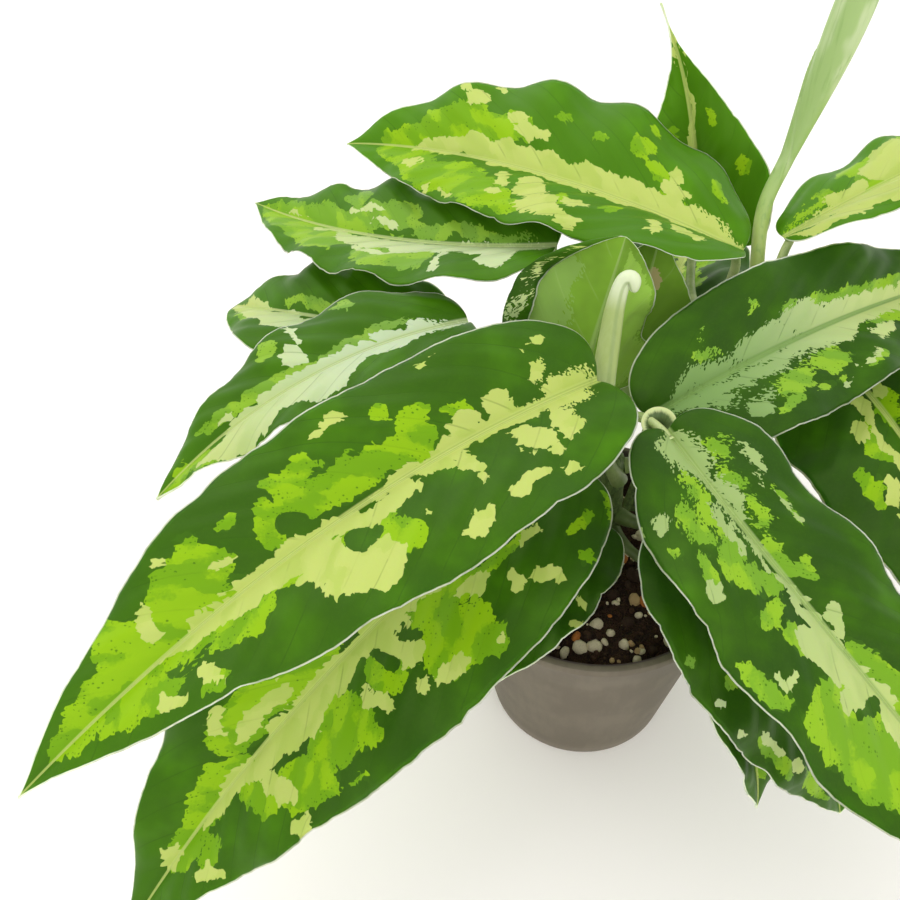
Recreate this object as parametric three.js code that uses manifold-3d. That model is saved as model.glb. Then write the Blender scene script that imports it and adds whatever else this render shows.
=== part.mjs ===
// Potted chinese evergreen: a small nursery pot of soil with three canes, their patterned leaves,
// one rolled new leaf and one young flower bud.
// Millimetres, +Z up. The origin is the centre of the pot's flat base.
import * as THREE from "three";
import { mergeVertices } from "three/addons/utils/BufferGeometryUtils.js";
import Module from "manifold-3d";

const wasm = await Module();
wasm.setup();

// Pot
const potHeight = 78;
const potRimRadius = 45;
const potBaseRadius = 31;
const potWall = 1.6;
const potFloor = 2.2;
const lipHeight = 3.6;
const lipOverhang = 1.1;
const drainHoleCount = 6;
const drainHoleRadius = 3.2;
const drainHoleCircle = 19;

// Soil
const seatGap = 0.3;
const soilLevel = 68;
const soilBump = 0.9;
const soilWaveX = 0.21;
const soilWaveY = 0.17;
const gritCount = 26;
const gritSmallest = 1.3;
const gritLargest = 2.6;
const gritRise = 0.1;
const gritSeed = 7;

// Canes
const caneSides = 10;
const caneSteps = 16;
const caneFootHeight = 56;
const caneRingHeight = 0.35;
const caneRingCount = 7;
const caneTipShare = 0.7;

// Leaves
const bladeThickness = 0.9;
const bladeRows = 16;
const rowCrowding = 0.05;
const columnStops = [1, 0.64, 0.28, 0, -0.28, -0.64, -1];
const widestAt = 1 / 3;
const baseRoundness = 0.45;
const dripTip = 0.45;
const dripSharpness = 12;
const lobeReach = 0.3;
const laminaArch = 0.1;
const midribHeight = 1.5;
const midribFade = 0.8;
const tipHalfWidth = 0.4;
const rightWaveShift = 2.1;
const spineSteps = 72;
const petioleFootRadius = 2.0;
const petioleTopRadius = 1.4;
const petioleSides = 6;
const petioleSteps = 7;
const petioleSunk = 1.6;
const petioleDrop = 0.6;
const petioleReach = 0.3;
const petioleRunIn = 0.1;

const up = new THREE.Vector3(0, 0, 1);

// Each cane is a curve through its foot, its bend and its top.
const canes = {
  front: { foot: [7, 12, caneFootHeight], bend: [7, 12, 84], top: [5, 12, 108], radius: 4.4 },
  right: { foot: [15, 20, caneFootHeight], bend: [21, 27, 98], top: [57, 65, 125], radius: 4.2 },
  left: { foot: [-14, 22, caneFootHeight], bend: [-15, 26, 92], top: [-15, 42, 122], radius: 4 },
};

// A leaf row: the cane it grows from, how far along and on which side its stalk leaves, where the
// blade begins, its heading and rise there, how far it droops, swings and twists on its way to the
// tip (degrees), its length and width, the fold along its midrib, how far its base lobes reach back
// (share of the half width), the waves of its margins, and how steadily it tapers to the tip.
const leafRows = [
  {
    name: "leaf_front_left", cane: "front", along: 0.88, side: 175, base: [-2, 10, 139],
    heading: 212, rise: 8, droop: 28, swing: 10, roll: -17, twist: 0,
    length: 176, width: 62, fold: 14, lobe: 0.45, waves: 4.2, waveHeight: 2.2, phase: 0.6, taper: 0.9,
  },
  {
    name: "leaf_lower_left", cane: "front", along: 0.6, side: 215, base: [-10, 7, 109],
    heading: 218, rise: -2, droop: 42, swing: 2, roll: -15, twist: -4,
    length: 183, width: 74, fold: 14, lobe: 0.4, waves: 5.5, waveHeight: 2.6, phase: 2.4, taper: 0.9,
  },
  {
    name: "leaf_under_left", cane: "front", along: 0.42, side: 240, base: [1, 1, 88],
    heading: 229, rise: 0, droop: 22, swing: 0, roll: -10, twist: 0,
    length: 70, width: 34, fold: 12, lobe: 0.2, waves: 4.0, waveHeight: 1.6, phase: 1.1, taper: 0.9,
  },
  {
    name: "leaf_front_right", cane: "front", along: 0.8, side: 300, base: [16.4, -0.8, 129],
    heading: 295, rise: -8, droop: 32, swing: 24, roll: 5, twist: -12,
    length: 167, width: 59, fold: 2, lobe: 0.4, waves: 5.2, waveHeight: 2.6, phase: 3.6, taper: 0.66,
  },
  {
    name: "leaf_right", cane: "front", along: 0.86, side: 0, base: [14.5, 12.5, 121],
    heading: 25, rise: 14, droop: 35, swing: 7, roll: 30, twist: 0,
    length: 146, width: 50, fold: 10, lobe: 0.45, waves: 4.2, waveHeight: 2.0, phase: 5.2, taper: 0.9,
  },
  {
    name: "leaf_hood", cane: "front", along: 0.92, side: 115, base: [-4, 27, 119],
    heading: 49, rise: 70, droop: 4, swing: 0, roll: 231, twist: 0,
    length: 49, width: 60, fold: 20, lobe: 0.3, waves: 2.4, waveHeight: 1.8, phase: 1.8, taper: 0.6,
  },
  {
    name: "leaf_hood_right", cane: "front", along: 0.62, side: 70, base: [11, 38.5, 106],
    heading: 62, rise: 62, droop: 8, swing: 0, roll: 190, twist: 0,
    length: 52, width: 40, fold: 16, lobe: 0.3, waves: 2.2, waveHeight: 1.2, phase: 0.2, taper: 0.9,
  },
  {
    name: "leaf_low_right", cane: "front", along: 0.45, side: 320, base: [22, -12, 107],
    heading: 306, rise: -18, droop: 54, swing: 5, roll: 8, twist: 4,
    length: 108, width: 64, fold: 11, lobe: 0.3, waves: 4.6, waveHeight: 2.2, phase: 4.4, taper: 0.9,
  },
  {
    name: "leaf_drooping", cane: "front", along: 0.32, side: 290, base: [19, -15, 88],
    heading: 294, rise: -4, droop: 76, swing: 0, roll: -10, twist: -4,
    length: 84, width: 31, fold: 14, lobe: 0.3, waves: 3.5, waveHeight: 1.2, phase: 2.9, taper: 0.9,
  },
  {
    name: "leaf_top_left", cane: "right", along: 0.95, side: 170, base: [50.5, 63.5, 141],
    heading: 156, rise: 22, droop: 41, swing: -10, roll: 8, twist: -50,
    length: 147, width: 64, fold: 12, lobe: 0.15, waves: 5.4, waveHeight: 2.4, phase: 0.9, taper: 0.9,
  },
  {
    name: "leaf_upper_right", cane: "right", along: 0.96, side: 345, base: [65, 69.5, 141],
    heading: 17, rise: 23, droop: 22, swing: 0, roll: -20, twist: 4,
    length: 129, width: 44, fold: 6, lobe: 0.1, waves: 4.8, waveHeight: 2.2, phase: 3.1, taper: 0.9,
  },
  {
    name: "leaf_upright", cane: "right", along: 0.86, side: 110, base: [48, 107, 120],
    heading: 112, rise: 80, droop: 20, swing: 40, roll: -50, twist: 0,
    length: 78, width: 46, fold: 16, lobe: 0.3, waves: 3.0, waveHeight: 1.2, phase: 4.9, taper: 2.2,
  },
  {
    name: "leaf_behind_right", cane: "right", along: 0.68, side: 330, base: [77, 60.5, 102.5],
    heading: 284, rise: 5, droop: 30, swing: 0, roll: 14, twist: 0,
    length: 122, width: 58, fold: 11, lobe: 0.4, waves: 4.4, waveHeight: 2.4, phase: 0.0, taper: 0.9,
  },
  {
    name: "leaf_back", cane: "right", along: 0.5, side: 125, base: [23, 64, 102],
    heading: 62, rise: 5, droop: 30, swing: 8, roll: 0, twist: 0,
    length: 112, width: 54, fold: 12, lobe: 0.2, waves: 4.3, waveHeight: 2.2, phase: 2.2, taper: 0.9,
  },
  {
    name: "leaf_middle_left", cane: "left", along: 0.95, side: 60, base: [-8, 62, 147],
    heading: 158, rise: -14, droop: -4, swing: -28, roll: -4, twist: -8,
    length: 134, width: 54, fold: 13, lobe: 0.2, waves: 5.0, waveHeight: 2.2, phase: 1.4, taper: 0.9,
  },
  {
    name: "leaf_side_left", cane: "left", along: 0.88, side: 190, base: [-36, 44, 134],
    heading: 201, rise: 9, droop: 42, swing: 12, roll: 3, twist: 0,
    length: 108, width: 44, fold: 11, lobe: 0.15, waves: 4.0, waveHeight: 1.8, phase: 5.6, taper: 0.9,
  },
  {
    name: "leaf_hidden_left", cane: "left", along: 0.62, side: 150, base: [-44, 62, 112],
    heading: 174, rise: 12, droop: 42, swing: -46, roll: -8, twist: -4,
    length: 92, width: 50, fold: 11, lobe: 0.4, waves: 4.0, waveHeight: 2.0, phase: 3.3, taper: 0.75,
  },
];

// Rolled new leaf and young flower bud
const newLeafPath = [
  [58.1, 66.2, 125.9],
  [60, 79, 145],
  [66.5, 84, 165],
  [73, 83, 205],
  [78, 80, 250],
];
const newLeafRadius = 6.4;
const newLeafFootRadius = 2.1;
const newLeafLip = 0.22;
const newLeafEnds = 0.1;
const newLeafSides = 12;
const newLeafSteps = 16;
const budPath = [
  [4.5, 12.7, 108.9],
  [1.5, 16.5, 128],
  [3, 22.5, 147],
  [5.5, 26.5, 158],
  [8, 26.5, 161],
  [10.5, 25, 157.5],
];
const budRadius = 3;
const budSwell = 0.25;
const budCapStart = 0.92;
const budSides = 8;
const budSteps = 16;

const material = (color, roughness) => new THREE.MeshStandardMaterial({ color, roughness, metalness: 0 });
const potMaterial = () => material(0x857b78, 0.55);
const soilMaterial = () => material(0x3a2920, 0.95);
const caneMaterial = () => material(0x7f9a4c, 0.5);
const upperLeafMaterial = () => material(0x3f7a2b, 0.4);
const paleLeafMaterial = () => material(0x86b04a, 0.45);
const budMaterial = () => material(0xcfd9b8, 0.5);

const radians = THREE.MathUtils.degToRad;
const vector = (point) => new THREE.Vector3(...point);

// A closed geometry as a solid, and back.
function solidOf(geometry) {
  const bare = new THREE.BufferGeometry();
  bare.setAttribute("position", geometry.getAttribute("position"));
  bare.setIndex(geometry.index);
  const merged = mergeVertices(bare, 1e-4);
  const vertProperties = new Float32Array(merged.attributes.position.array);
  const triVerts = new Uint32Array(merged.index.array);
  return new wasm.Manifold(new wasm.Mesh({ numProp: 3, vertProperties, triVerts }));
}

function geometryOf(solid) {
  const mesh = solid.getMesh();
  const geometry = new THREE.BufferGeometry();
  geometry.setAttribute("position", new THREE.BufferAttribute(new Float32Array(mesh.vertProperties), 3));
  geometry.setIndex(new THREE.BufferAttribute(new Uint32Array(mesh.triVerts), 1));
  geometry.computeVertexNormals();
  return geometry;
}

// Skins a row of rings, each with the same even number of points, and closes both ends.
// From the point number `mirrorFrom` on, the squares are split along their other diagonal, so the two
// faces of a thin blade are split alike.
function skinRings(rings, mirrorFrom = Infinity) {
  const size = rings[0].length;
  const positions = rings.flat().flatMap((point) => point.toArray());
  const triangles = [];
  for (let row = 0; row < rings.length - 1; row += 1) {
    for (let place = 0; place < size; place += 1) {
      const next = (place + 1) % size;
      const a = row * size + place;
      const b = row * size + next;
      const c = (row + 1) * size + next;
      const d = (row + 1) * size + place;
      if (place < mirrorFrom) triangles.push(a, b, c, a, c, d);
      else triangles.push(a, b, d, b, c, d);
    }
  }
  const last = (rings.length - 1) * size;
  for (let place = 0; place < size / 2 - 1; place += 1) {
    const across = size - 1 - place;
    triangles.push(place + 1, place, across - 1, place, across, across - 1);
    triangles.push(last + place, last + place + 1, last + across - 1);
    triangles.push(last + place, last + across - 1, last + across);
  }
  const geometry = new THREE.BufferGeometry();
  geometry.setAttribute("position", new THREE.Float32BufferAttribute(positions, 3));
  geometry.setIndex(triangles);
  return geometry;
}

// A round body along a curve, whose radius follows radiusAt(share of the way, angle).
function tubeAlong(curve, radiusAt, sides, steps) {
  const frames = curve.computeFrenetFrames(steps, false);
  const rings = [];
  for (let step = 0; step <= steps; step += 1) {
    const share = step / steps;
    const centre = curve.getPointAt(share);
    const ring = [];
    for (let side = 0; side < sides; side += 1) {
      const angle = (2 * Math.PI * side) / sides;
      const radius = radiusAt(share, angle);
      ring.push(
        centre
          .clone()
          .addScaledVector(frames.normals[step], radius * Math.cos(angle))
          .addScaledVector(frames.binormals[step], radius * Math.sin(angle)),
      );
    }
    rings.push(ring);
  }
  return skinRings(rings);
}

// Pot: a lathed wall with a lip and a flat base, drained by a circle of holes.
function wallRadius(height) {
  return potBaseRadius + ((potRimRadius - lipOverhang - potBaseRadius) * height) / potHeight;
}

function potGeometry() {
  const lipFoot = potHeight - lipHeight;
  const innerFloor = wallRadius(potFloor) - potWall;
  const innerRim = wallRadius(potHeight) - potWall;
  const profile = [
    [0, 0],
    [potBaseRadius - 1, 0],
    [potBaseRadius, 1],
    [wallRadius(lipFoot), lipFoot],
    [potRimRadius - 0.2, lipFoot + 0.3],
    [potRimRadius, potHeight - 0.7],
    [potRimRadius - 0.7, potHeight],
    [innerRim + 0.5, potHeight],
    [innerRim, potHeight - 0.6],
    [innerFloor, potFloor],
    [0, potFloor],
  ].map(([radius, height]) => new THREE.Vector2(radius, height));
  const shell = new THREE.LatheGeometry(profile, 36).rotateX(Math.PI / 2);
  let pot = solidOf(shell);
  for (let hole = 0; hole < drainHoleCount; hole += 1) {
    const angle = (2 * Math.PI * (hole + 0.5)) / drainHoleCount;
    const drill = new THREE.CylinderGeometry(drainHoleRadius, drainHoleRadius, 3 * potFloor, 10);
    drill.rotateX(Math.PI / 2);
    drill.translate(drainHoleCircle * Math.cos(angle), drainHoleCircle * Math.sin(angle), potFloor / 2);
    pot = pot.subtract(solidOf(drill));
  }
  return geometryOf(pot);
}

// Canes: slim stems ringed by old leaf scars, with a rounded growing tip.
function caneCurve(cane) {
  return new THREE.QuadraticBezierCurve3(vector(cane.foot), vector(cane.bend), vector(cane.top));
}

function caneGeometry(cane, spare = 0) {
  const tipStart = 1 - 1 / caneSteps;
  const radiusAt = (share) => {
    const ring = caneRingHeight * Math.abs(Math.sin(Math.PI * caneRingCount * share));
    const full = cane.radius - ring * (spare ? 0 : 1) + spare;
    return share > tipStart ? full * caneTipShare : full;
  };
  return tubeAlong(caneCurve(cane), radiusAt, caneSides, caneSteps);
}

// Soil: a plug that fills the pot, with a lightly heaped top, grit grains half sunk in it and a plain
// hole round each cane.
function soilHeightAt(x, y) {
  const broad = Math.sin(x * soilWaveX + 1) * Math.cos(y * soilWaveY);
  const fine = Math.sin(2 * (x * soilWaveX - y * soilWaveY)) / 2;
  return soilLevel + soilBump * (broad + fine);
}

function seededRandom(seed) {
  let state = seed;
  return () => {
    state = (state * 16807) % 2147483647;
    return state / 2147483647;
  };
}

function soilGeometry() {
  const bottom = potFloor + seatGap;
  const edgeRadius = wallRadius(soilLevel) - potWall - 2 * seatGap;
  const footRadius = wallRadius(bottom) - potWall - 2 * seatGap;
  const profile = [
    [0, bottom],
    [footRadius, bottom],
    [edgeRadius, soilLevel],
    [edgeRadius * 0.76, soilLevel],
    [edgeRadius * 0.52, soilLevel],
    [edgeRadius * 0.26, soilLevel],
    [0, soilLevel],
  ].map(([radius, height]) => new THREE.Vector2(radius, height));
  const plug = new THREE.LatheGeometry(profile, 24).rotateX(Math.PI / 2);
  const points = plug.getAttribute("position");
  for (let index = 0; index < points.count; index += 1) {
    const x = points.getX(index);
    const y = points.getY(index);
    const isInnerTop = points.getZ(index) > soilLevel - 1 && Math.hypot(x, y) < edgeRadius - 1;
    if (isInnerTop) points.setZ(index, soilHeightAt(x, y));
  }
  let soil = solidOf(plug);
  const random = seededRandom(gritSeed);
  for (let grain = 0; grain < gritCount; grain += 1) {
    const angle = 2 * Math.PI * random();
    const distance = (edgeRadius - 4) * Math.sqrt(random());
    const size = gritSmallest + (gritLargest - gritSmallest) * random();
    const stone = new THREE.IcosahedronGeometry(size, 0);
    stone.scale(1, 0.8, 0.75).rotateZ(Math.PI * random());
    const x = distance * Math.cos(angle);
    const y = distance * Math.sin(angle);
    stone.translate(x, y, soilHeightAt(x, y) + gritRise * size);
    soil = soil.add(solidOf(indexed(stone)));
  }
  for (const cane of Object.values(canes)) {
    const hole = { ...cane, foot: belowFoot(cane) };
    soil = soil.subtract(solidOf(caneGeometry(hole, seatGap)));
  }
  return geometryOf(soil);
}

// The hole starts a little below the cane's own foot, in line with it.
function belowFoot(cane) {
  const lineOut = vector(cane.foot).sub(vector(cane.bend)).normalize();
  return vector(cane.foot).addScaledVector(lineOut, seatGap).toArray();
}

function indexed(geometry) {
  const bare = new THREE.BufferGeometry();
  bare.setAttribute("position", geometry.getAttribute("position"));
  return mergeVertices(bare, 1e-4);
}

// The midrib is marched in equal steps from the blade's base to its tip. Each station holds its place,
// its forward direction, its leftward direction and the direction its upper face looks in.
function leafStations(leaf) {
  const stations = [];
  const place = vector(leaf.base);
  const stride = leaf.length / spineSteps;
  const forwardAt = (share) => {
    const heading = radians(leaf.heading + leaf.swing * share);
    const rise = radians(leaf.rise - leaf.droop * share);
    const level = Math.cos(rise);
    return new THREE.Vector3(level * Math.cos(heading), level * Math.sin(heading), Math.sin(rise));
  };
  for (let step = 0; step <= spineSteps; step += 1) {
    const share = step / spineSteps;
    const heading = radians(leaf.heading + leaf.swing * share);
    const forward = forwardAt(share);
    const flatLeft = new THREE.Vector3(-Math.sin(heading), Math.cos(heading), 0);
    const turn = radians(leaf.roll + leaf.twist * share);
    const left = flatLeft.applyAxisAngle(forward, turn);
    const face = forward.clone().cross(left);
    stations.push({ place: place.clone(), forward, left, face });
    place.addScaledVector(forwardAt(share + 0.5 / spineSteps), stride);
  }
  return stations;
}

function stationAt(stations, share) {
  const exact = share * spineSteps;
  const low = Math.min(Math.floor(exact), spineSteps - 1);
  const blend = exact - low;
  const mix = (key) => stations[low][key].clone().lerp(stations[low + 1][key], blend);
  return { place: mix("place"), forward: mix("forward"), left: mix("left"), face: mix("face") };
}

// Half of the blade's width: a rounded base, widest a third of the way, and a drawn-out drip tip.
function halfWidthAt(leaf, share) {
  const rounded = (share / widestAt) ** baseRoundness;
  const pointed = ((1 - share) / (1 - widestAt)) ** leaf.taper;
  const drip = 1 - dripTip * share ** dripSharpness;
  const narrowest = share < 0.5 ? petioleTopRadius : tipHalfWidth;
  return Math.max(narrowest, (leaf.width / 2) * rounded * pointed * drip);
}

function bladeGeometry(leaf) {
  const stations = leafStations(leaf);
  const rings = [];
  for (let row = 0; row <= bladeRows; row += 1) {
    const even = row / bladeRows;
    const share = even - rowCrowding * Math.sin(2 * Math.PI * even);
    const { place, forward, left, face } = stationAt(stations, share);
    const halfWidth = halfWidthAt(leaf, share);
    const lobeBack = leaf.lobe * halfWidth * Math.max(0, 1 - share / lobeReach);
    const waveStrength = leaf.waveHeight * Math.sqrt(Math.sin(Math.PI * share));
    const upper = [];
    const lower = [];
    for (const stop of columnStops) {
      const out = Math.abs(stop);
      const wavePhase = leaf.phase + (stop < 0 ? rightWaveShift : 0);
      const wave = waveStrength * out * out * Math.sin(2 * Math.PI * leaf.waves * share + wavePhase);
      const folded = halfWidth * out * Math.sin(radians(leaf.fold));
      const arched = halfWidth * laminaArch * Math.sin(Math.PI * out);
      const lift = wave + folded + arched;
      const point = place
        .clone()
        .addScaledVector(left, halfWidth * stop * Math.cos(radians(leaf.fold)))
        .addScaledVector(forward, -lobeBack * out)
        .addScaledVector(face, lift);
      const ridge = stop === 0 ? midribHeight * (1 - share) ** midribFade : 0;
      upper.push(point.clone().addScaledVector(face, bladeThickness / 2));
      lower.unshift(point.clone().addScaledVector(face, -bladeThickness / 2 - ridge));
    }
    rings.push([...upper, ...lower]);
  }
  return skinRings(rings, columnStops.length);
}

// The stalk leaves its cane squarely, bends up and runs into the blade's midrib from below.
function petioleCurve(leaf) {
  const cane = canes[leaf.cane];
  const curve = caneCurve(cane);
  const along = curve.getTangentAt(leaf.along);
  const side = radians(leaf.side);
  const outward = new THREE.Vector3(Math.cos(side), Math.sin(side), 0);
  outward.addScaledVector(along, -outward.dot(along)).normalize();
  const foot = curve.getPointAt(leaf.along).addScaledVector(outward, cane.radius + seatGap);
  const { place, forward, face } = leafStations(leaf)[0];
  const span = foot.distanceTo(place);
  const first = foot.clone().addScaledVector(outward, petioleReach * span);
  const second = place.clone().addScaledVector(up, -petioleReach * span);
  second.addScaledVector(forward, -petioleRunIn * span);
  const end = place.clone().addScaledVector(forward, petioleSunk).addScaledVector(face, -petioleDrop);
  return new THREE.CubicBezierCurve3(foot, first, second, end);
}

function leafGeometry(leaf) {
  const radiusAt = (share) => THREE.MathUtils.lerp(petioleFootRadius, petioleTopRadius, share);
  const stalk = tubeAlong(petioleCurve(leaf), radiusAt, petioleSides, petioleSteps);
  return geometryOf(solidOf(bladeGeometry(leaf)).add(solidOf(stalk)));
}

// The new leaf is still rolled up: a slim spindle whose free margin stands out as a step.
function newLeafGeometry() {
  const curve = new THREE.CatmullRomCurve3(newLeafPath.map(vector));
  const radiusAt = (share, angle) => {
    const place = newLeafEnds + (0.98 - newLeafEnds) * share ** 1.1;
    const spindle = newLeafRadius * Math.sin(Math.PI * place) ** 1.4;
    const body = share < 0.5 ? Math.max(newLeafFootRadius, spindle) : spindle;
    return body * (1 + (newLeafLip * angle) / (2 * Math.PI));
  };
  return tubeAlong(curve, radiusAt, newLeafSides, newLeafSteps);
}

// The bud is a pale column that hooks over at its top.
function budGeometry() {
  const curve = new THREE.CatmullRomCurve3(budPath.map(vector));
  const radiusAt = (share) => {
    const swell = budRadius * (1 + budSwell * share ** 3);
    const intoCap = Math.max(0, (share - budCapStart) / (1 - budCapStart));
    return swell * Math.sqrt(1 - 0.9 * intoCap ** 2);
  };
  return tubeAlong(curve, radiusAt, budSides, budSteps);
}

const plant = new THREE.Group();

function addPart(name, geometry, partMaterial) {
  const mesh = new THREE.Mesh(geometry, partMaterial);
  mesh.name = name;
  plant.add(mesh);
}

addPart("pot", potGeometry(), potMaterial());
addPart("soil", soilGeometry(), soilMaterial());
for (const [name, cane] of Object.entries(canes)) {
  addPart(`cane_${name}`, caneGeometry(cane), caneMaterial());
}
for (const leaf of leafRows) {
  const isPale = leaf.name.startsWith("leaf_hood");
  addPart(leaf.name, leafGeometry(leaf), isPale ? paleLeafMaterial() : upperLeafMaterial());
}
addPart("new_leaf_rolled", newLeafGeometry(), paleLeafMaterial());
addPart("flower_bud", budGeometry(), budMaterial());

export default plant;
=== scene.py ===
# Potted chinese evergreen: patterned leaves on three canes, in a small nursery pot of gritty soil.
import bmesh
import bpy
import math
import random
import numpy as np
from mathutils import Matrix, Quaternion, Vector, noise


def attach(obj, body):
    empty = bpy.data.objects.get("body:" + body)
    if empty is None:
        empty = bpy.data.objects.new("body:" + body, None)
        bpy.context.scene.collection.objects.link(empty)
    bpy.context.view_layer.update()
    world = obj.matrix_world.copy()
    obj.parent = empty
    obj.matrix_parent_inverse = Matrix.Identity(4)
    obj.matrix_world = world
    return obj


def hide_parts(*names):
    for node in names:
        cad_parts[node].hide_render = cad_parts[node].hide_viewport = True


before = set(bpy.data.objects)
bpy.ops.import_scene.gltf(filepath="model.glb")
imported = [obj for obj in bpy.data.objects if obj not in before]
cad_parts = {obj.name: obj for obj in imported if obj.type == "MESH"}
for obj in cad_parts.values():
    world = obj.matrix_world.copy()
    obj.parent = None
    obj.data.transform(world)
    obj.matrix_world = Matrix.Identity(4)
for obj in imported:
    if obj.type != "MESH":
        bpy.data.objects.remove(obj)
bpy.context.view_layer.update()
print("frame loaded:", len(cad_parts), "nodes")

mm = 0.001


# Nodes written as expressions

class Wire:  # a socket that can be used in sums
    def __init__(self, net, socket):
        self.net = net
        self.socket = socket

    def isVector(self):
        return self.socket.type == "VECTOR"

    def __add__(self, other): return self.net.maths("ADD", self, other)
    def __radd__(self, other): return self.net.maths("ADD", other, self)
    def __sub__(self, other): return self.net.maths("SUBTRACT", self, other)
    def __rsub__(self, other): return self.net.maths("SUBTRACT", other, self)
    def __mul__(self, other): return self.net.maths("MULTIPLY", self, other)
    def __rmul__(self, other): return self.net.maths("MULTIPLY", other, self)
    def __truediv__(self, other): return self.net.maths("DIVIDE", self, other)
    def __rtruediv__(self, other): return self.net.maths("DIVIDE", other, self)
    def __pow__(self, other): return self.net.maths("POWER", self, other)
    def __lt__(self, other): return self.net.maths("LESS_THAN", self, other)
    def __gt__(self, other): return self.net.maths("GREATER_THAN", self, other)
    def __neg__(self): return self.net.maths("MULTIPLY", self, -1.0)
    def __abs__(self): return self.net.maths("ABSOLUTE", self)


class Net:  # a node tree being filled
    def __init__(self, tree):
        self.tree = tree

    def add(self, kind, settings=None, inputs=None):
        node = self.tree.nodes.new(kind)
        for name, value in (settings or {}).items():
            if name == "stops":
                self.setStops(node.color_ramp, value)
            else:
                setattr(node, name, value)
        for name, value in (inputs or {}).items():
            self.feed(self.openSocket(node.inputs, name), value)
        return node

    def setStops(self, ramp, stops):
        while len(ramp.elements) < len(stops):
            ramp.elements.new(0.5)
        for element, (place, color) in zip(ramp.elements, stops):
            element.position = place
            element.color = (*color, 1.0)

    def openSocket(self, sockets, name):
        if isinstance(name, int):
            return sockets[name]
        named = [socket for socket in sockets if socket.name == name]
        return next((socket for socket in named if socket.enabled), named[0])

    def feed(self, socket, value):
        if isinstance(value, Wire):
            self.tree.links.new(value.socket, socket)
        elif socket.type == "RGBA" and len(value) == 3:
            socket.default_value = (*value, 1.0)
        else:
            socket.default_value = value

    def get(self, node, name=0):
        return Wire(self, self.openSocket(node.outputs, name))

    def maths(self, operation, *parts):
        vectors = [isinstance(part, tuple) or (isinstance(part, Wire) and part.isVector()) for part in parts]
        if not any(vectors):
            settings = {"operation": operation}
            return self.get(self.add("ShaderNodeMath", settings, dict(enumerate(parts))))
        if operation == "MULTIPLY" and not all(vectors):
            arrow, size = parts if vectors[0] else reversed(parts)
            scaled = self.add("ShaderNodeVectorMath", {"operation": "SCALE"}, {0: arrow, "Scale": size})
            return self.get(scaled)
        return self.get(self.add("ShaderNodeVectorMath", {"operation": operation}, dict(enumerate(parts))))

    def sine(self, angle): return self.maths("SINE", angle)
    def cosine(self, angle): return self.maths("COSINE", angle)
    def bell(self, distance, reach): return self.maths("EXPONENT", -((distance / reach) * (distance / reach)))
    def larger(self, a, b): return self.maths("MAXIMUM", a, b)
    def smaller(self, a, b): return self.maths("MINIMUM", a, b)
    def fraction(self, a): return self.maths("FRACT", a)

    def step(self, value, low, high):  # 0 below low, 1 above high, smooth between
        node = self.add("ShaderNodeMapRange", {"interpolation_type": "SMOOTHSTEP"},
                        {"Value": value, "From Min": low, "From Max": high})
        return self.get(node)

    def vector(self, x, y, z): return self.get(self.add("ShaderNodeCombineXYZ", None, {0: x, 1: y, 2: z}))

    def parts(self, arrow):
        node = self.add("ShaderNodeSeparateXYZ", None, {0: arrow})
        return [self.get(node, index) for index in range(3)]

    def noise(self, place, scale, detail=2.0, roughness=0.5):
        inputs = {"Vector": place, "Scale": scale, "Detail": detail, "Roughness": roughness}
        return self.get(self.add("ShaderNodeTexNoise", None, inputs))

    def cells(self, place, scale, output="Distance", dimensions="3D"):
        settings = {"voronoi_dimensions": dimensions}
        inputs = {"Vector": place, "Scale": scale}
        return self.get(self.add("ShaderNodeTexVoronoi", settings, inputs), output)

    def mix(self, factor, first, second):
        node = self.add("ShaderNodeMix", {"data_type": "RGBA"}, {0: factor, 6: first, 7: second})
        return self.get(node, 2)


def color(red, green, blue):  # screen colour, 0 to 255, as the linear colour of a shader
    def linear(value):
        value = value / 255
        return value / 12.92 if value <= 0.04045 else ((value + 0.055) / 1.055) ** 2.4
    return (linear(red), linear(green), linear(blue))


def newMaterial(name, **fixed):
    made = bpy.data.materials.new(name)
    made.use_nodes = True
    net = Net(made.node_tree)
    shader = made.node_tree.nodes["Principled BSDF"]
    for socketName, value in fixed.items():
        net.feed(shader.inputs[socketName], value)
    return made, net, shader


def attribute(net, name, output="Vector"):
    return net.get(net.add("ShaderNodeAttribute", {"attribute_name": name}), output)


def bumpOf(net, height, distance, strength=1.0):
    return net.get(net.add("ShaderNodeBump", None, {"Strength": strength, "Distance": distance, "Height": height}))


def millimetres(net):  # where the surface point lies, in millimetres
    return net.get(net.add("ShaderNodeTexCoord"), "Object") * 1000.0


def dress(made, net, shader, look, roughness, normal):
    net.feed(shader.inputs["Base Color"], look)
    net.feed(shader.inputs["Roughness"], roughness)
    net.feed(shader.inputs["Normal"], normal)
    return made


# Meshes and objects

def addObject(name, data):
    made = bpy.data.objects.new(name, data)
    bpy.context.scene.collection.objects.link(made)
    return made


def smoothen(mesh):
    mesh.polygons.foreach_set("use_smooth", [True] * len(mesh.polygons))


def solidMesh(name, points, faces, material=None):
    mesh = bpy.data.meshes.new(name)
    mesh.from_pydata([tuple(point) for point in points], [], faces)
    if material:
        mesh.materials.append(material)
    smoothen(mesh)
    return mesh


def storeVectors(mesh, name, *columns):
    packed = np.stack(columns, axis=1).astype(np.float32)
    mesh.attributes.new(name, "FLOAT_VECTOR", "POINT").data.foreach_set("vector", packed.ravel())


def meshOf(body, name):  # ends a bmesh
    mesh = bpy.data.meshes.new(name)
    body.to_mesh(mesh)
    body.free()
    return mesh


# Geometry trees

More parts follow.
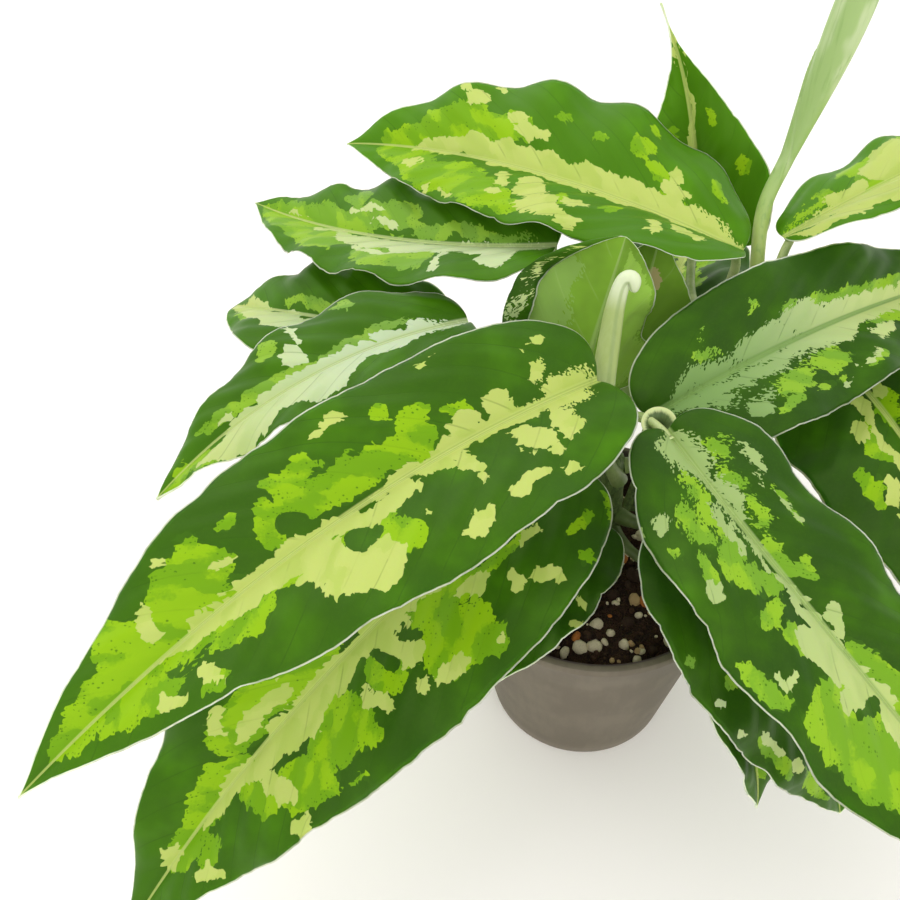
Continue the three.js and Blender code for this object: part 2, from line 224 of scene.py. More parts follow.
def newTree(name, sizes):
    tree = bpy.data.node_groups.new(name, "GeometryNodeTree")
    tree.interface.new_socket(name="Geometry", in_out="INPUT", socket_type="NodeSocketGeometry")
    kinds = {float: "NodeSocketFloat", int: "NodeSocketInt"}
    for size, value in sizes.items():
        socket = tree.interface.new_socket(name=size, in_out="INPUT", socket_type=kinds[type(value)])
        socket.default_value = value
    tree.interface.new_socket(name="Material", in_out="INPUT", socket_type="NodeSocketMaterial")
    tree.interface.new_socket(name="Geometry", in_out="OUTPUT", socket_type="NodeSocketGeometry")
    net = Net(tree)
    given = net.add("NodeGroupInput")
    return tree, net, {socket.name: Wire(net, socket) for socket in given.outputs if socket.name}


def endTree(net, geometry, given):
    whole = net.get(net.add("GeometryNodeRealizeInstances", None, {"Geometry": geometry}))
    dressed = net.add("GeometryNodeSetMaterial", None, {"Geometry": whole, "Material": given["Material"]})
    net.add("NodeGroupOutput", None, {"Geometry": net.get(dressed)})


def keep(net, geometry, name, value, kind="FLOAT_VECTOR", domain="POINT"):
    settings = {"data_type": kind, "domain": domain}
    return net.get(net.add("GeometryNodeStoreNamedAttribute", settings,
                           {"Geometry": geometry, "Name": name, "Value": value}))


def named(net, name, kind="FLOAT_VECTOR"):
    return net.get(net.add("GeometryNodeInputNamedAttribute", {"data_type": kind}, {"Name": name}), "Attribute")


def runTree(tree, source, name, sizes, material):  # evaluates the tree on the source and keeps a plain mesh
    holder = addObject(name, source)
    modifier = holder.modifiers.new(name, "NODES")
    modifier.node_group = tree
    for item in tree.interface.items_tree:
        if item.item_type == "SOCKET" and item.in_out == "INPUT" and item.name in sizes:
            modifier[item.identifier] = sizes[item.name]
        if item.item_type == "SOCKET" and item.name == "Material":
            modifier[item.identifier] = material
    graph = bpy.context.evaluated_depsgraph_get()
    evaluated = holder.evaluated_get(graph)
    mesh = bpy.data.meshes.new_from_object(evaluated, preserve_all_data_layers=True, depsgraph=graph)
    holder.modifiers.clear()
    holder.data = mesh
    mesh.name = name
    smoothen(mesh)
    return holder


def pathMesh(name, paths, facts):  # polylines, with one list of values for each point and fact
    points = [point for path in paths for point in path]
    edges = []
    start = 0
    for path in paths:
        edges += [(start + index, start + index + 1) for index in range(len(path) - 1)]
        start += len(path)
    mesh = bpy.data.meshes.new(name)
    mesh.from_pydata([tuple(point) for point in points], edges, [])
    for fact, values in facts.items():
        flat = np.array(values, dtype=np.float32)
        kind = "FLOAT" if flat.ndim == 1 else "FLOAT_VECTOR"
        slot = mesh.attributes.new(fact, kind, "POINT")
        slot.data.foreach_set("value" if kind == "FLOAT" else "vector", flat.ravel())
    return mesh


# Canes and leaves: where they grow

canes = {
    "front": {"foot": (7, 12, 56), "bend": (7, 12, 84), "top": (5, 12, 108), "radius": 4.4},
    "right": {"foot": (15, 20, 56), "bend": (21, 27, 98), "top": (57, 65, 125), "radius": 4.2},
    "left": {"foot": (-14, 22, 56), "bend": (-15, 26, 92), "top": (-15, 42, 122), "radius": 4.0},
}

# cane, along, side | base | heading, rise, droop, swing, roll, twist | length, width, taper | fold, lobe,
# waves, waveHeight, phase
leafRows = {
    "front_left": ("front", 0.88, 175, (-2, 10, 139),
                   212, 8, 28, 10, -17, 0, 176, 62, 0.9, 14, 0.45, 4.2, 2.2, 0.6),
    "lower_left": ("front", 0.6, 215, (-10, 7, 109),
                   218, -2, 42, 2, -15, -4, 183, 74, 0.9, 14, 0.4, 5.5, 2.6, 2.4),
    "under_left": ("front", 0.42, 240, (1, 1, 88),
                   229, 0, 22, 0, -10, 0, 70, 34, 0.9, 12, 0.2, 4.0, 1.6, 1.1),
    "front_right": ("front", 0.8, 300, (16.4, -0.8, 129),
                    295, -8, 32, 24, 5, -12, 167, 59, 0.66, 2, 0.4, 5.2, 2.6, 3.6),
    "right": ("front", 0.86, 0, (14.5, 12.5, 121),
              25, 14, 35, 7, 30, 0, 146, 50, 0.9, 10, 0.45, 4.2, 2.0, 5.2),
    "hood": ("front", 0.92, 115, (-4, 27, 119),
             49, 70, 4, 0, 231, 0, 49, 60, 0.6, 20, 0.3, 2.4, 1.8, 1.8),
    "hood_right": ("front", 0.62, 70, (11, 38.5, 106),
                   62, 62, 8, 0, 190, 0, 52, 40, 0.9, 16, 0.3, 2.2, 1.2, 0.2),
    "low_right": ("front", 0.45, 320, (22, -12, 107),
                  306, -18, 54, 5, 8, 4, 108, 64, 0.9, 11, 0.3, 4.6, 2.2, 4.4),
    "drooping": ("front", 0.32, 290, (19, -15, 88),
                 294, -4, 76, 0, -10, -4, 84, 31, 0.9, 14, 0.3, 3.5, 1.2, 2.9),
    "top_left": ("right", 0.95, 170, (50.5, 63.5, 141),
                 156, 22, 41, -10, 8, -50, 147, 64, 0.9, 12, 0.15, 5.4, 2.4, 0.9),
    "upper_right": ("right", 0.96, 345, (65, 69.5, 141),
                    17, 23, 22, 0, -20, 4, 129, 44, 0.9, 6, 0.1, 4.8, 2.2, 3.1),
    "upright": ("right", 0.86, 110, (48, 107, 120),
                112, 80, 20, 40, -50, 0, 78, 46, 2.2, 16, 0.3, 3.0, 1.2, 4.9),
    "behind_right": ("right", 0.68, 330, (77, 60.5, 102.5),
                     284, 5, 30, 0, 14, 0, 122, 58, 0.9, 11, 0.4, 4.4, 2.4, 0.0),
    "back": ("right", 0.5, 125, (23, 64, 102),
             62, 5, 30, 8, 0, 0, 112, 54, 0.9, 12, 0.2, 4.3, 2.2, 2.2),
    "middle_left": ("left", 0.95, 60, (-8, 62, 147),
                    158, -14, -4, -28, -4, -8, 134, 54, 0.9, 13, 0.2, 5.0, 2.2, 1.4),
    "side_left": ("left", 0.88, 190, (-36, 44, 134),
                  201, 9, 42, 12, 3, 0, 108, 44, 0.9, 11, 0.15, 4.0, 1.8, 5.6),
    "hidden_left": ("left", 0.62, 150, (-44, 62, 112),
                    174, 12, 42, -46, -8, -4, 92, 50, 0.75, 11, 0.4, 4.0, 2.0, 3.3),
}
leafWords = ("cane", "along", "side", "base", "heading", "rise", "droop", "swing", "roll", "twist",
             "length", "width",
             "taper", "fold", "lobe", "waves", "waveHeight", "phase")
leaves = {name: dict(zip(leafWords, row)) for name, row in leafRows.items()}
leaves["front_right"]["via"] = [(1.6, 9.0, 112), (3.2, 8.8, 122), (7.5, 8, 126), (10.4, 6.2, 128), (13.7, 1.8, 129)]


def marchSpine(leaf, steps=96):  # midrib points, with the leftward and upward directions at each, in metres
    def forwardAt(share):
        heading = math.radians(leaf["heading"] + leaf["swing"] * share)
        rise = math.radians(leaf["rise"] - leaf["droop"] * share)
        return Vector((math.cos(rise) * math.cos(heading), math.cos(rise) * math.sin(heading), math.sin(rise)))

    place = Vector(leaf["base"]) * mm
    points, lefts, faces = [], [], []
    for step in range(steps + 1):
        share = step / steps
        heading = math.radians(leaf["heading"] + leaf["swing"] * share)
        forward = forwardAt(share)
        turn = Quaternion(forward, math.radians(leaf["roll"] + leaf["twist"] * share))
        left = turn @ Vector((-math.sin(heading), math.cos(heading), 0))
        points.append(place.copy())
        lefts.append(left)
        faces.append(forward.cross(left))
        place += forwardAt(share + 0.5 / steps) * (leaf["length"] * mm / steps)
    return points, lefts, faces


# Leaf blades

veinSpacing = 13.0  # millimetres
bladeSizes = {"Columns": 113, "Rows": 160, "Thickness": 0.8 * mm, "Arch": 0.1, "Midrib Height": 1.4 * mm,
              "Channel": 0.45 * mm, "Quilt": 0.4 * mm, "Vein Spacing": veinSpacing * mm, "Roll Bend": 0.3}


def leafSizes(leaf, extra, seed):
    return {
        "Length": leaf["length"] * mm, "Width": leaf["width"] * extra.get("widen", 1) * mm,
        "Taper": float(leaf["taper"]), "Fold": math.radians(leaf["fold"]), "Lobe": float(leaf["lobe"]),
        "Waves": float(leaf["waves"]), "Wave Height": leaf["waveHeight"] * mm, "Phase": float(leaf["phase"]),
        "Seed": float(seed), "Cup": math.radians(extra.get("cup", 0)), "Ripple": extra.get("ripple", 0.8) * mm,
        "Scallop": extra.get("scallop", 1.4) * mm, "Kink Phase": float(extra.get("kinkPhase", seed * 0.37)),
        "Rib Shift": float(extra.get("ribShift", 0)), "Waist": float(extra.get("waist", 0)),
        "Waist Start": extra.get("waistFrom", 0.08), "Waist End": extra.get("waistTo", 0.57),
        "Roll Side": float(extra.get("rollSide", 1)), "Roll Start": float(extra.get("rollStart", 0.8)),
        "Roll Turn": math.radians(extra.get("rollTurn", 0.05)),
    }


def buildBladeTree():
    tree, net, given = newTree("leafBlade", {**bladeSizes, **leafSizes(leaves["front_left"], {}, 0)})
    grid = net.add("GeometryNodeMeshGrid", None, {"Size X": 1.0, "Size Y": 1.0, "Vertices X": given["Columns"],
                                                  "Vertices Y": given["Rows"]})
    across, along, _ = net.parts(net.get(net.add("GeometryNodeInputPosition")))
    around = across + 0.5
    even = along + 0.5
    share = net.smaller(net.larger(even - net.sine(even * math.tau) * 0.09, 0.0), 1.0)
    fan = abs(around * 4.0 - 2.0) - 1.0
    stop = fan * (abs(fan) * 0.55 + 0.45)  # columns lie closer together at the midrib
    out = abs(stop)
    isUpper = around < 0.5
    isRight = stop < 0.0

    closing = net.smaller(share * 3000.0, 1.0) * net.smaller((1.0 - share) * 3000.0, 1.0)
    shape = ((share * 3.0) ** 0.45) * (((1.0 - share) * 1.5) ** given["Taper"]) * (1.0 - (share ** 12.0) * 0.45)
    narrowest = (share < 0.5) * (1.0 * mm) + 0.4 * mm
    waistSide = (stop * given["Waist"]) < 0.0
    waistReach = net.step(share, given["Waist Start"], given["Waist Start"] + 0.15)
    waistReach = waistReach * net.step(share, given["Waist End"], given["Waist End"] - 0.1)
    waist = abs(given["Waist"]) * waistSide * waistReach
    halfWidth = net.larger(given["Width"] * 0.5 * shape * (1.0 - waist), narrowest) * closing
    nearBase = net.larger(1.0 - share / 0.3, 0.0)
    lobeBack = given["Lobe"] * halfWidth * nearBase * out

    # the part past the roll's start turns over like a rolled margin
    rollHere = (stop * given["Roll Side"]) > 0.0
    rollRoom = 1.0 - given["Roll Start"]
    rolled = net.larger(out - given["Roll Start"], 0.0) / rollRoom * rollHere
    bend = net.smaller(rolled / given["Roll Bend"], 1.0)
    turn = bend * given["Roll Turn"]
    rollRadius = halfWidth * rollRoom * given["Roll Bend"] / given["Roll Turn"]
    flap = (rolled - bend * given["Roll Bend"]) * rollRoom * halfWidth
    flatOut = out - rolled * rollRoom

    bulge = net.maths("SQRT", net.larger(net.sine(share * math.pi), 0.0))
    beat = share * given["Waves"] * math.tau + given["Phase"] + isRight * 2.1
    wave = given["Wave Height"] * bulge * out * out * net.sine(beat)
    crinkleAt = net.vector(share * given["Length"] / (11.0 * mm), isRight * 3.7 + given["Seed"], 0.0)
    margin = given["Ripple"] * 2.4 * bulge * out * out
    crinkle = (net.noise(crinkleAt, 1.0, 3.0, 0.6) - 0.5) * margin
    notch = (net.noise(crinkleAt + (0.0, 41.0, 0.0), 1.6, 2.0, 0.6) - 0.5) * margin * out * out
    kinkBeat = share * given["Waves"] + given["Kink Phase"] + isRight * 0.45
    kink = 1.0 - abs(net.sine(kinkBeat * math.pi)) ** 0.5  # rounded bays that meet in sharp notches
    kinkDice = net.noise(net.vector(share * given["Length"] / (34.0 * mm), isRight * 5.0, given["Seed"]), 1.0, 1.0)
    kinkDepth = given["Scallop"] * kink * bulge * out * out * out * (net.step(kinkDice, 0.35, 0.65) * 1.1 + 0.15)
    cupped = net.larger(1.0 - share / 0.15, 0.0)
    foldAngle = given["Fold"] + given["Cup"] * cupped * cupped
    lift = (wave + crinkle + kinkDepth * 0.6 + halfWidth * flatOut * net.sine(foldAngle)
            + halfWidth * given["Arch"] * net.sine(flatOut * math.pi))

    fromMidrib = halfWidth * out
    veinLine = share * given["Length"] - fromMidrib * (out * 0.5 + 1.05)
    veinBeat = veinLine / given["Vein Spacing"] * math.tau + isRight * 2.4
    offRib = net.step(fromMidrib, 1.0 * mm, 6.0 * mm) * (1.0 - out ** 4.0)
    quilt = net.cosine(veinBeat) * given["Quilt"] * offRib * bulge
    halfThick = given["Thickness"] * 0.5 * net.maths("SQRT", net.larger(1.0 - out ** 6.0, 0.0)) * closing
    channel = given["Channel"] * net.bell(fromMidrib, 1.3 * mm) * ((1.0 - share) ** 0.5) * closing
    ridge = given["Midrib Height"] * net.bell(fromMidrib, 1.2 * mm) * ((1.0 - share) ** 0.8) * closing
    ends = isUpper * (halfThick * 2.0 - channel + ridge) - halfThick - ridge
    height = (lift + quilt + ends * net.cosine(turn) + rollRadius * (1.0 - net.cosine(turn))
              + flap * net.sine(turn))
    outward = (halfWidth * flatOut * net.cosine(foldAngle) + (rollRadius - ends) * net.sine(turn)
               + flap * net.cosine(turn) + notch - kinkDepth)
    ribShift = given["Rib Shift"] * (1.0 - out * out)
    side = outward * (1.0 - isRight * 2.0) + ribShift * halfWidth

    spine = net.get(net.add("GeometryNodeMeshToCurve", None, {0: given["Geometry"]}))

    def sample(value):
        node = net.add("GeometryNodeSampleCurve", {"data_type": "FLOAT_VECTOR", "mode": "FACTOR"},
                       {"Curves": spine, "Value": value, "Factor": share})
        return net.get(node, "Value"), net.get(node, "Position")

    left, place = sample(named(net, "left"))
    face, _ = sample(named(net, "face"))
    left = net.maths("NORMALIZE", left)
    face = net.maths("NORMALIZE", face)
    forward = net.maths("CROSS_PRODUCT", left, face)
    where = place + left * side + face * height - forward * lobeBack

    sheet = net.get(grid)
    sheet = keep(net, sheet, "veinPlace", net.vector(stop * halfWidth / mm, veinLine / mm, given["Seed"]))
    sheet = keep(net, sheet, "bladePlace", net.vector(halfWidth * (1.0 - out) / mm, share, stop + ribShift))
    sheet = keep(net, sheet, "underside", 1.0 - isUpper, "FLOAT", "FACE")
    shaped = net.get(net.add("GeometryNodeSetPosition", None, {"Geometry": sheet, "Position": where}))
    closed = net.get(net.add("GeometryNodeMergeByDistance", None, {"Geometry": shaped, "Distance": 0.002 * mm}))
    endTree(net, closed, given)
    return tree


# Where the patches lie on each blade, in percent: how far toward the tip, how far across (100 is the left
# margin), half length and half width. Blades with no row get seeded patches.
patchRows = {
    "front_left": {
        "cream": [(7, 2, 6, 24), (20, 0, 12, 10), (12.5, 38, 2.6, 17), (18, 33, 3, 20), (17.5, 56, 1, 7),
            (28, 22, 2, 18), (28.5, 44, 1.1, 7), (24.5, 68, 4, 7), (34, 73, 2.6, 8), (19, 80, 1.2, 4),
            (37.5, 40, 1, 4), (50, 58, 6.5, 19), (52, 34, 5.5, 24), (42, 14, 7, 10), (60, 6, 16, 13),
            (10, -62, 1.5, 10), (11, -36, 1, 7), (25, -16, 2, 13), (42, -76, 3.4, 6), (25.5, -83, 1.2, 3),
            (19.5, -15, 3, 10), (73, 60, 1.6, 19), (78.5, 66, 1.6, 12), (63, -30, 1.3, 5), (74.5, -40, 1.2, 24),
            (69, -80, 1, 5), (33, -5, 5, 5), (30, 0, 12, 7)],
        "lime": [(43, 45, 3.5, 20), (66, 32, 5, 16), (37, -24, 9, 17), (46, -27, 9, 15), (50.5, -52, 3.2, 16),
            (31, -35, 2.5, 14), (55.5, -30, 1.8, 22), (35, -62, 1.6, 8), (60.5, -62, 1.3, 7), (25, -32, 1.1, 9),
            (71, -35, 9, 42), (79, -10, 9, 55), (82, 38, 5.5, 32), (80, -72, 3.5, 26), (67, -66, 3, 12),
            (73, 78, 2, 6), (50, 20, 10, 12), (68, 8, 10, 20), (90, 0, 5, 35)],
        "dark": [(47, 31, 2.1, 12), (53, -17, 2, 9), (73.5, 30, 3.5, 7), (74, -72, 2, 10)],
    },
    "lower_left": {
        "cream": [(19, 72, 1.6, 12), (22.5, 57, 1.1, 9), (15.5, 37, 2, 5), (26, 32, 2.2, 6), (28, 80, 1.3, 3),
            (36, 67, 2.6, 8), (40.5, 62, 1.1, 5), (40, 30, 2.6, 20), (47.5, 47, 1.3, 14), (67, 90, 1.4, 12),
            (65.5, 42, 1.8, 22), (55, 10, 14, 16), (70, 8, 10, 12), (85, 0, 1.8, 18), (82, 66, 1.2, 18),
            (65, -46, 1.8, 10), (60, -20, 5, 8), (30, 5, 20, 10), (10, 0, 7, 16)],
        "lime": [(30, 75, 3.5, 12), (33, 55, 6, 24), (30, 20, 6, 22), (43, 38, 3.5, 16), (54, 44, 5.5, 26),
            (62, 58, 5.5, 27), (68.5, 36, 2.6, 24), (55.5, 86, 1.6, 4), (52, -20, 10, 20), (62, -32, 7, 27),
            (73, 0, 8, 20), (77, -16, 7, 12), (80, 45, 2, 16), (14, 85, 1, 5), (9, 67, 1, 5), (11, 62, 1.5, 4),
            (20, 30, 5, 6), (30, -30, 10, 25), (83, 10, 4, 30), (5, 90, 2, 5)],
        "dark": [(42, 30, 1.2, 12), (62, -62, 6, 10)],
    },
    "front_right": {
        "cream": [(5, -10, 5, 34), (6, 12, 3, 12), (16, 8, 4, 9), (13.5, 62, 2, 11), (16.5, 47, 1.3, 5),
            (22, 62, 3, 4), (39, 11, 2.5, 8), (42, -20, 4.5, 20), (49, -30, 2, 24), (27, -65, 1.4, 8),
            (15.5, -80, 1.7, 8), (16, -100, 1, 3), (41.5, -70, 1, 10), (25, -6, 22, 5), (60, -6, 25, 12),
            (70, 30, 2, 12), (66, -30, 3, 14), (20, -20, 4, 5)],
        "lime": [(8.8, 38, 2.6, 16), (20.5, 23, 2.6, 8), (30, 25, 2, 8), (26.5, 12, 3.5, 8), (14, 20, 3, 10),
            (22, 62, 3.5, 7), (13, -28, 5, 10), (20, -30, 5, 10), (25, -38, 5, 12), (18, -52, 3, 12),
            (29, -20, 3, 14), (33, -40, 1.4, 20), (25, -62, 3, 8), (21.5, -83, 1, 5), (38, -35, 3, 12),
            (41, -85, 4, 10), (46, -40, 2, 20), (55, -65, 10, 22), (60, -35, 8, 30), (50, 12, 8, 12),
            (60, 22, 10, 18), (76, -20, 10, 50)],
        "dark": [(52, -20, 1.5, 12), (20, -12, 3, 3)],
    },
    "right": {
        "cream": [(14, -15, 10, 16), (15, 8, 8, 14), (28, -14, 10, 14), (30, 8, 8, 16), (40, 15, 6, 20),
            (45, -12, 12, 14), (52, 8, 15, 16), (60, -10, 10, 14), (22, -53, 2.5, 10), (16, -33, 3, 12),
            (56, -42, 4, 10), (47, -64, 4.5, 4), (41, -76, 1.2, 3), (68, 0, 8, 14)],
        "lime": [(48, 30, 7, 10), (55, 27, 5, 10), (38, 34, 2, 8), (18, 32, 2, 10), (29, 57, 1.1, 5),
            (20, 57, 1, 3), (30, -45, 5, 15), (40, -42, 4.5, 18), (27, -65, 3, 6), (60, -25, 6, 15),
            (65, 10, 10, 25), (50, -70, 3, 5), (36, -70, 3, 3), (68, -20, 8, 30)],
        "dark": [(25, -33, 2.5, 7), (33, -25, 2, 6), (48, -36, 3, 10)],
    },
    "top_left": {
        "cream": [(14, 5, 12, 18), (30, 5, 14, 20), (50, 3, 16, 16), (68, 0, 10, 14), (13, 50, 3, 12),
            (20, 62, 1.2, 20), (35, 55, 3, 8), (42, 72, 4.5, 20), (45, 45, 3, 20), (34, 82, 3, 6), (52, 42, 2, 14),
            (53, 70, 2, 6), (64, 85, 3, 4), (70, 85, 1.2, 10), (76, 45, 2, 12), (52, -30, 5, 8), (56, -42, 3, 6),
            (67, -72, 3, 14), (71, -90, 1.5, 8), (62, -95, 1.2, 7), (20, -40, 1.5, 10), (20, -20, 3, 10)],
        "lime": [(55, 75, 9, 20), (64, 55, 10, 28), (72, 65, 7, 24), (80, 30, 8, 35), (60, -30, 10, 20),
            (70, -40, 9, 28), (80, -10, 8, 30), (66, -15, 12, 15), (29, -50, 3.5, 16), (23, -30, 4, 10),
            (38, -42, 2, 6), (47, -55, 1.2, 6), (11, -60, 2.5, 12), (28, -85, 1, 6), (28, 45, 2, 10),
            (38, 50, 1.5, 12), (20, -5, 5, 8)],
        "dark": [(36, 72, 1.2, 5), (33, 62, 1.2, 8), (42, 36, 1.5, 8)],
    },
    "middle_left": {
        "cream": [(15, 15, 14, 20), (35, 25, 14, 20), (50, 30, 10, 18), (12, 45, 4, 20), (24, 60, 1, 25),
            (45, 55, 5, 6), (48, -18, 5, 6), (56, -35, 7, 6), (62, 15, 6, 8), (80, -10, 3, 6)],
        "lime": [(40, 62, 9, 24), (66, 40, 14, 45), (80, 10, 12, 60), (65, -15, 14, 30), (50, -30, 12, 20),
            (20, -15, 12, 8), (40, -15, 15, 10), (62, -62, 5, 15), (90, 10, 6, 50), (30, 50, 3, 20)],
        "dark": [(53, 70, 3, 20), (42, -10, 4, 4), (66, -45, 3, 8)],
    },
    "side_left": {
        "cream": [(10, 10, 10, 20), (30, 15, 16, 26), (50, 25, 18, 42), (68, 40, 10, 50), (78, 60, 5, 30),
            (49, -40, 3.5, 22), (45.5, -75, 1.4, 16), (72, -22, 3, 10)],
        "lime": [(30, -15, 14, 8), (50, -15, 8, 12), (62, -18, 7, 14), (72, -30, 6, 20), (78, -50, 3, 15),
            (92, 20, 6, 60), (82, 50, 4, 50), (55, -80, 4, 10), (30, -80, 2, 10)],
        "dark": [(19, 42, 1.2, 14), (28, 50, 1.2, 12), (77, 12, 2.5, 18), (37, 62, 3, 8)],
    },
    "hidden_left": {
        "cream": [(20, 10, 14, 16), (45, 25, 15, 20), (62, 25, 12, 26), (78, 15, 12, 35), (90, 0, 6, 40)],
        "lime": [(50, -15, 10, 10), (62, -20, 5, 8), (80, 45, 6, 20)],
    },
    "upper_right": {
        "cream": [(15, -25, 14, 30), (30, -50, 14, 40), (10, -70, 10, 20), (18, 15, 6, 20), (32, 30, 7, 30),
            (35, 60, 5, 20), (45, 0, 15, 40)],
        "lime": [(26, 60, 6, 20), (28, -25, 3, 25), (15, -15, 4, 30), (10, 30, 8, 20), (50, 0, 30, 80),
            (75, 0, 14, 55)],
        "dark": [(8, 40, 5, 12), (10, 80, 4, 20)],
    },
    "behind_right": {
        "cream": [(20, 2, 16, 10), (35, -17, 2.6, 10), (54, -28, 4.5, 6), (50, 2, 15, 9), (25, 30, 4, 6)],
        "lime": [(51, -45, 5, 10), (40, -8, 6, 14), (56, 10, 10, 25), (30, 30, 6, 14), (75, -10, 8, 40)],
    },
    "upright": {
        "cream": [(40, 2, 30, 5), (95, 0, 14, 160)],
        "lime": [(42, 50, 8, 20), (30, 35, 5, 20), (50, -40, 5, 12), (30, -70, 3, 8)],
    },
    "hood": {
        "cream": [(40, -48, 42, 24), (30, -86, 25, 2), (55, -90, 25, 2)],
        "lime": [(40, 62, 50, 40)],
    },
    "hood_right": {
        "cream": [(72, 10, 10, 28)],
        "lime": [(50, -50, 15, 20)],
    },
    "low_right": {
        "cream": [(12, 0, 10, 14), (30, -55, 3, 10), (70, 10, 7, 22), (50, -30, 4, 10), (58, -72, 5, 6),
            (42, -82, 2, 6), (50, -90, 2, 5), (68, -62, 3, 8)],
        "lime": [(30, 20, 8, 20), (52, 0, 8, 25), (70, 15, 8, 35), (40, -60, 3, 10), (30, -88, 2, 6),
            (62, -78, 8, 10), (80, -60, 8, 16)],
    },
}
patches = {name: {kind: [tuple(round(part / 100, 4) for part in spot) for spot in rows.get(kind, [])]
                  for kind in ("cream", "lime", "dark")} for name, rows in patchRows.items()}


def seededPatches(seed):
    dice = random.Random(seed)
    made = {"cream": [], "lime": [], "dark": []}
    for index in range(9):
        made["cream"].append((dice.uniform(0.1, 0.85), dice.uniform(-0.8, 0.8), dice.uniform(0.012, 0.03),
                              dice.uniform(0.05, 0.14)))
        made["lime"].append((dice.uniform(0.2, 0.85), dice.uniform(-0.6, 0.6), dice.uniform(0.03, 0.09),
                             dice.uniform(0.08, 0.26)))
    made["cream"] += [(0.2, 0, 0.18, 0.12), (0.6, 0.04, 0.2, 0.1)]
    return made


# Distance in millimetres into the nearest patch (below nothing outside) and its slope along x and along the veins
def distanceInto(spots, share, stop, halfAt, length):
    best = np.full(share.shape, -8.0)
    slopes = np.zeros((2, *share.shape))
    for atShare, atStop, alongReach, acrossReach in spots:
        half = np.interp(atShare, *halfAt)
        reaches = alongReach * length, acrossReach * half
        along = (share - atShare) * length / reaches[0]
        across = (stop - atStop) * half / reaches[1]
        near = np.hypot(along, across)
        steep = np.maximum(np.hypot(along / reaches[0], across / reaches[1]), 1e-4)
        distance = np.clip(near * (1 - near) / steep, -8, 6)
        inner = distance > best
        best = np.where(inner, distance, best)
        slopes[0] = np.where(inner, -along / reaches[0] / steep, slopes[0])
        slopes[1] = np.where(inner, -across / reaches[1] / steep, slopes[1])
    return best, slopes


def warped(x, y, seed):  # shifts that turn round patches into ragged ones, in millimetres
    shifts = np.zeros((2, len(x)))
    for reach, size in ((10.0, 3.2), (4.0, 1.0)):
        for index, (here, there) in enumerate(zip(x / reach, y / reach)):
            shifts[0][index] += noise.noise((here, there, seed * 3.7 + reach)) * size
            shifts[1][index] += noise.noise((here + 31.0, there, seed * 3.7 + reach)) * size
    return shifts


veinAngle = math.radians(38)  # between the side veins and the midrib


# The patches of one blade, measured along (u) and across (v) its side veins
def storePatches(mesh, spots, leaf, seed, tones):
    place, vein = (np.zeros(len(mesh.vertices) * 3, dtype=np.float32) for _ in range(2))
    mesh.attributes["bladePlace"].data.foreach_get("vector", place)
    mesh.attributes["veinPlace"].data.foreach_get("vector", vein)
    gap, share, stop = place.reshape(-1, 3).T.astype(float)
    x = vein.reshape(-1, 3)[:, 0].astype(float)
    half = np.abs(x) + gap
    order = np.argsort(share)
    halfAt = share[order], half[order]
    alongShift, acrossShift = warped(stop * half, share * leaf["length"], seed)
    movedShare = share + alongShift / leaf["length"]
    movedStop = stop + acrossShift / np.maximum(half, 4.0)
    found = {kind: distanceInto(spots[kind], movedShare, movedStop, halfAt, leaf["length"]) for kind in spots}
    hole = found["dark"][0]
    side = np.sign(x)
    outward = np.abs(x)
    along = share * leaf["length"]
    lean = math.sin(veinAngle), math.cos(veinAngle)
    grey = np.full(share.shape, tones.get("grey", 0.0))
    storeVectors(mesh, "patchPlace", outward * lean[0] + along * lean[1], along * lean[0] - outward * lean[1], grey)
    for kind in ("cream", "lime"):
        distance, (slopeAlong, slopeAcross) = found[kind]
        keeps = -hole >= distance
        slopeU = (side * slopeAcross * lean[0] + slopeAlong * lean[1]) * keeps
        slopeV = (slopeAlong * lean[0] - side * slopeAcross * lean[1]) * keeps
        storeVectors(mesh, kind + "Edge", np.minimum(distance, -hole), slopeU, slopeV)
    nearRib = np.clip(tones.get("featherWide", 1.2) - 1.6 * np.abs(stop), 0, 1)
    feather = np.clip(1 - share / tones.get("feather", 0.2), 0, 1) ** 1.2 * nearRib
    silver = tones.get("silver", 0.0) * np.clip(1.5 - share * 1.6, 0, 1)
    # painted light: how far this blade's dark green is brightened, as if lit through from behind
    backlit = np.full(share.shape, tones.get("backlit", 0.0))
    storeVectors(mesh, "bladeTone", feather, silver, backlit)


# painted light: the brightest of the three dark greens stands for leaf green lit through from behind
bladeColors = {
    "dark": color(46, 86, 8), "darkShade": color(38, 74, 14), "darkBacklit": color(76, 130, 8),
    "middle": color(64, 110, 16), "lime": color(140, 182, 16), "limeDeep": color(112, 160, 16),
    "speck": color(58, 106, 10), "cream": color(186, 198, 106), "creamGreen": color(168, 188, 84),
    "silver": color(196, 210, 180), "silverDeep": color(128, 160, 92), "grey": color(124, 156, 90),
    "rib": color(194, 206, 118), "ribLine": color(122, 150, 60), "margin": color(232, 240, 212),
    "under": color(122, 164, 50), "underDeep": color(108, 146, 46), "underPatch": color(138, 170, 92),
    "underTan": color(176, 158, 112), "underLime": color(158, 198, 84), "underRib": color(172, 190, 130),
}


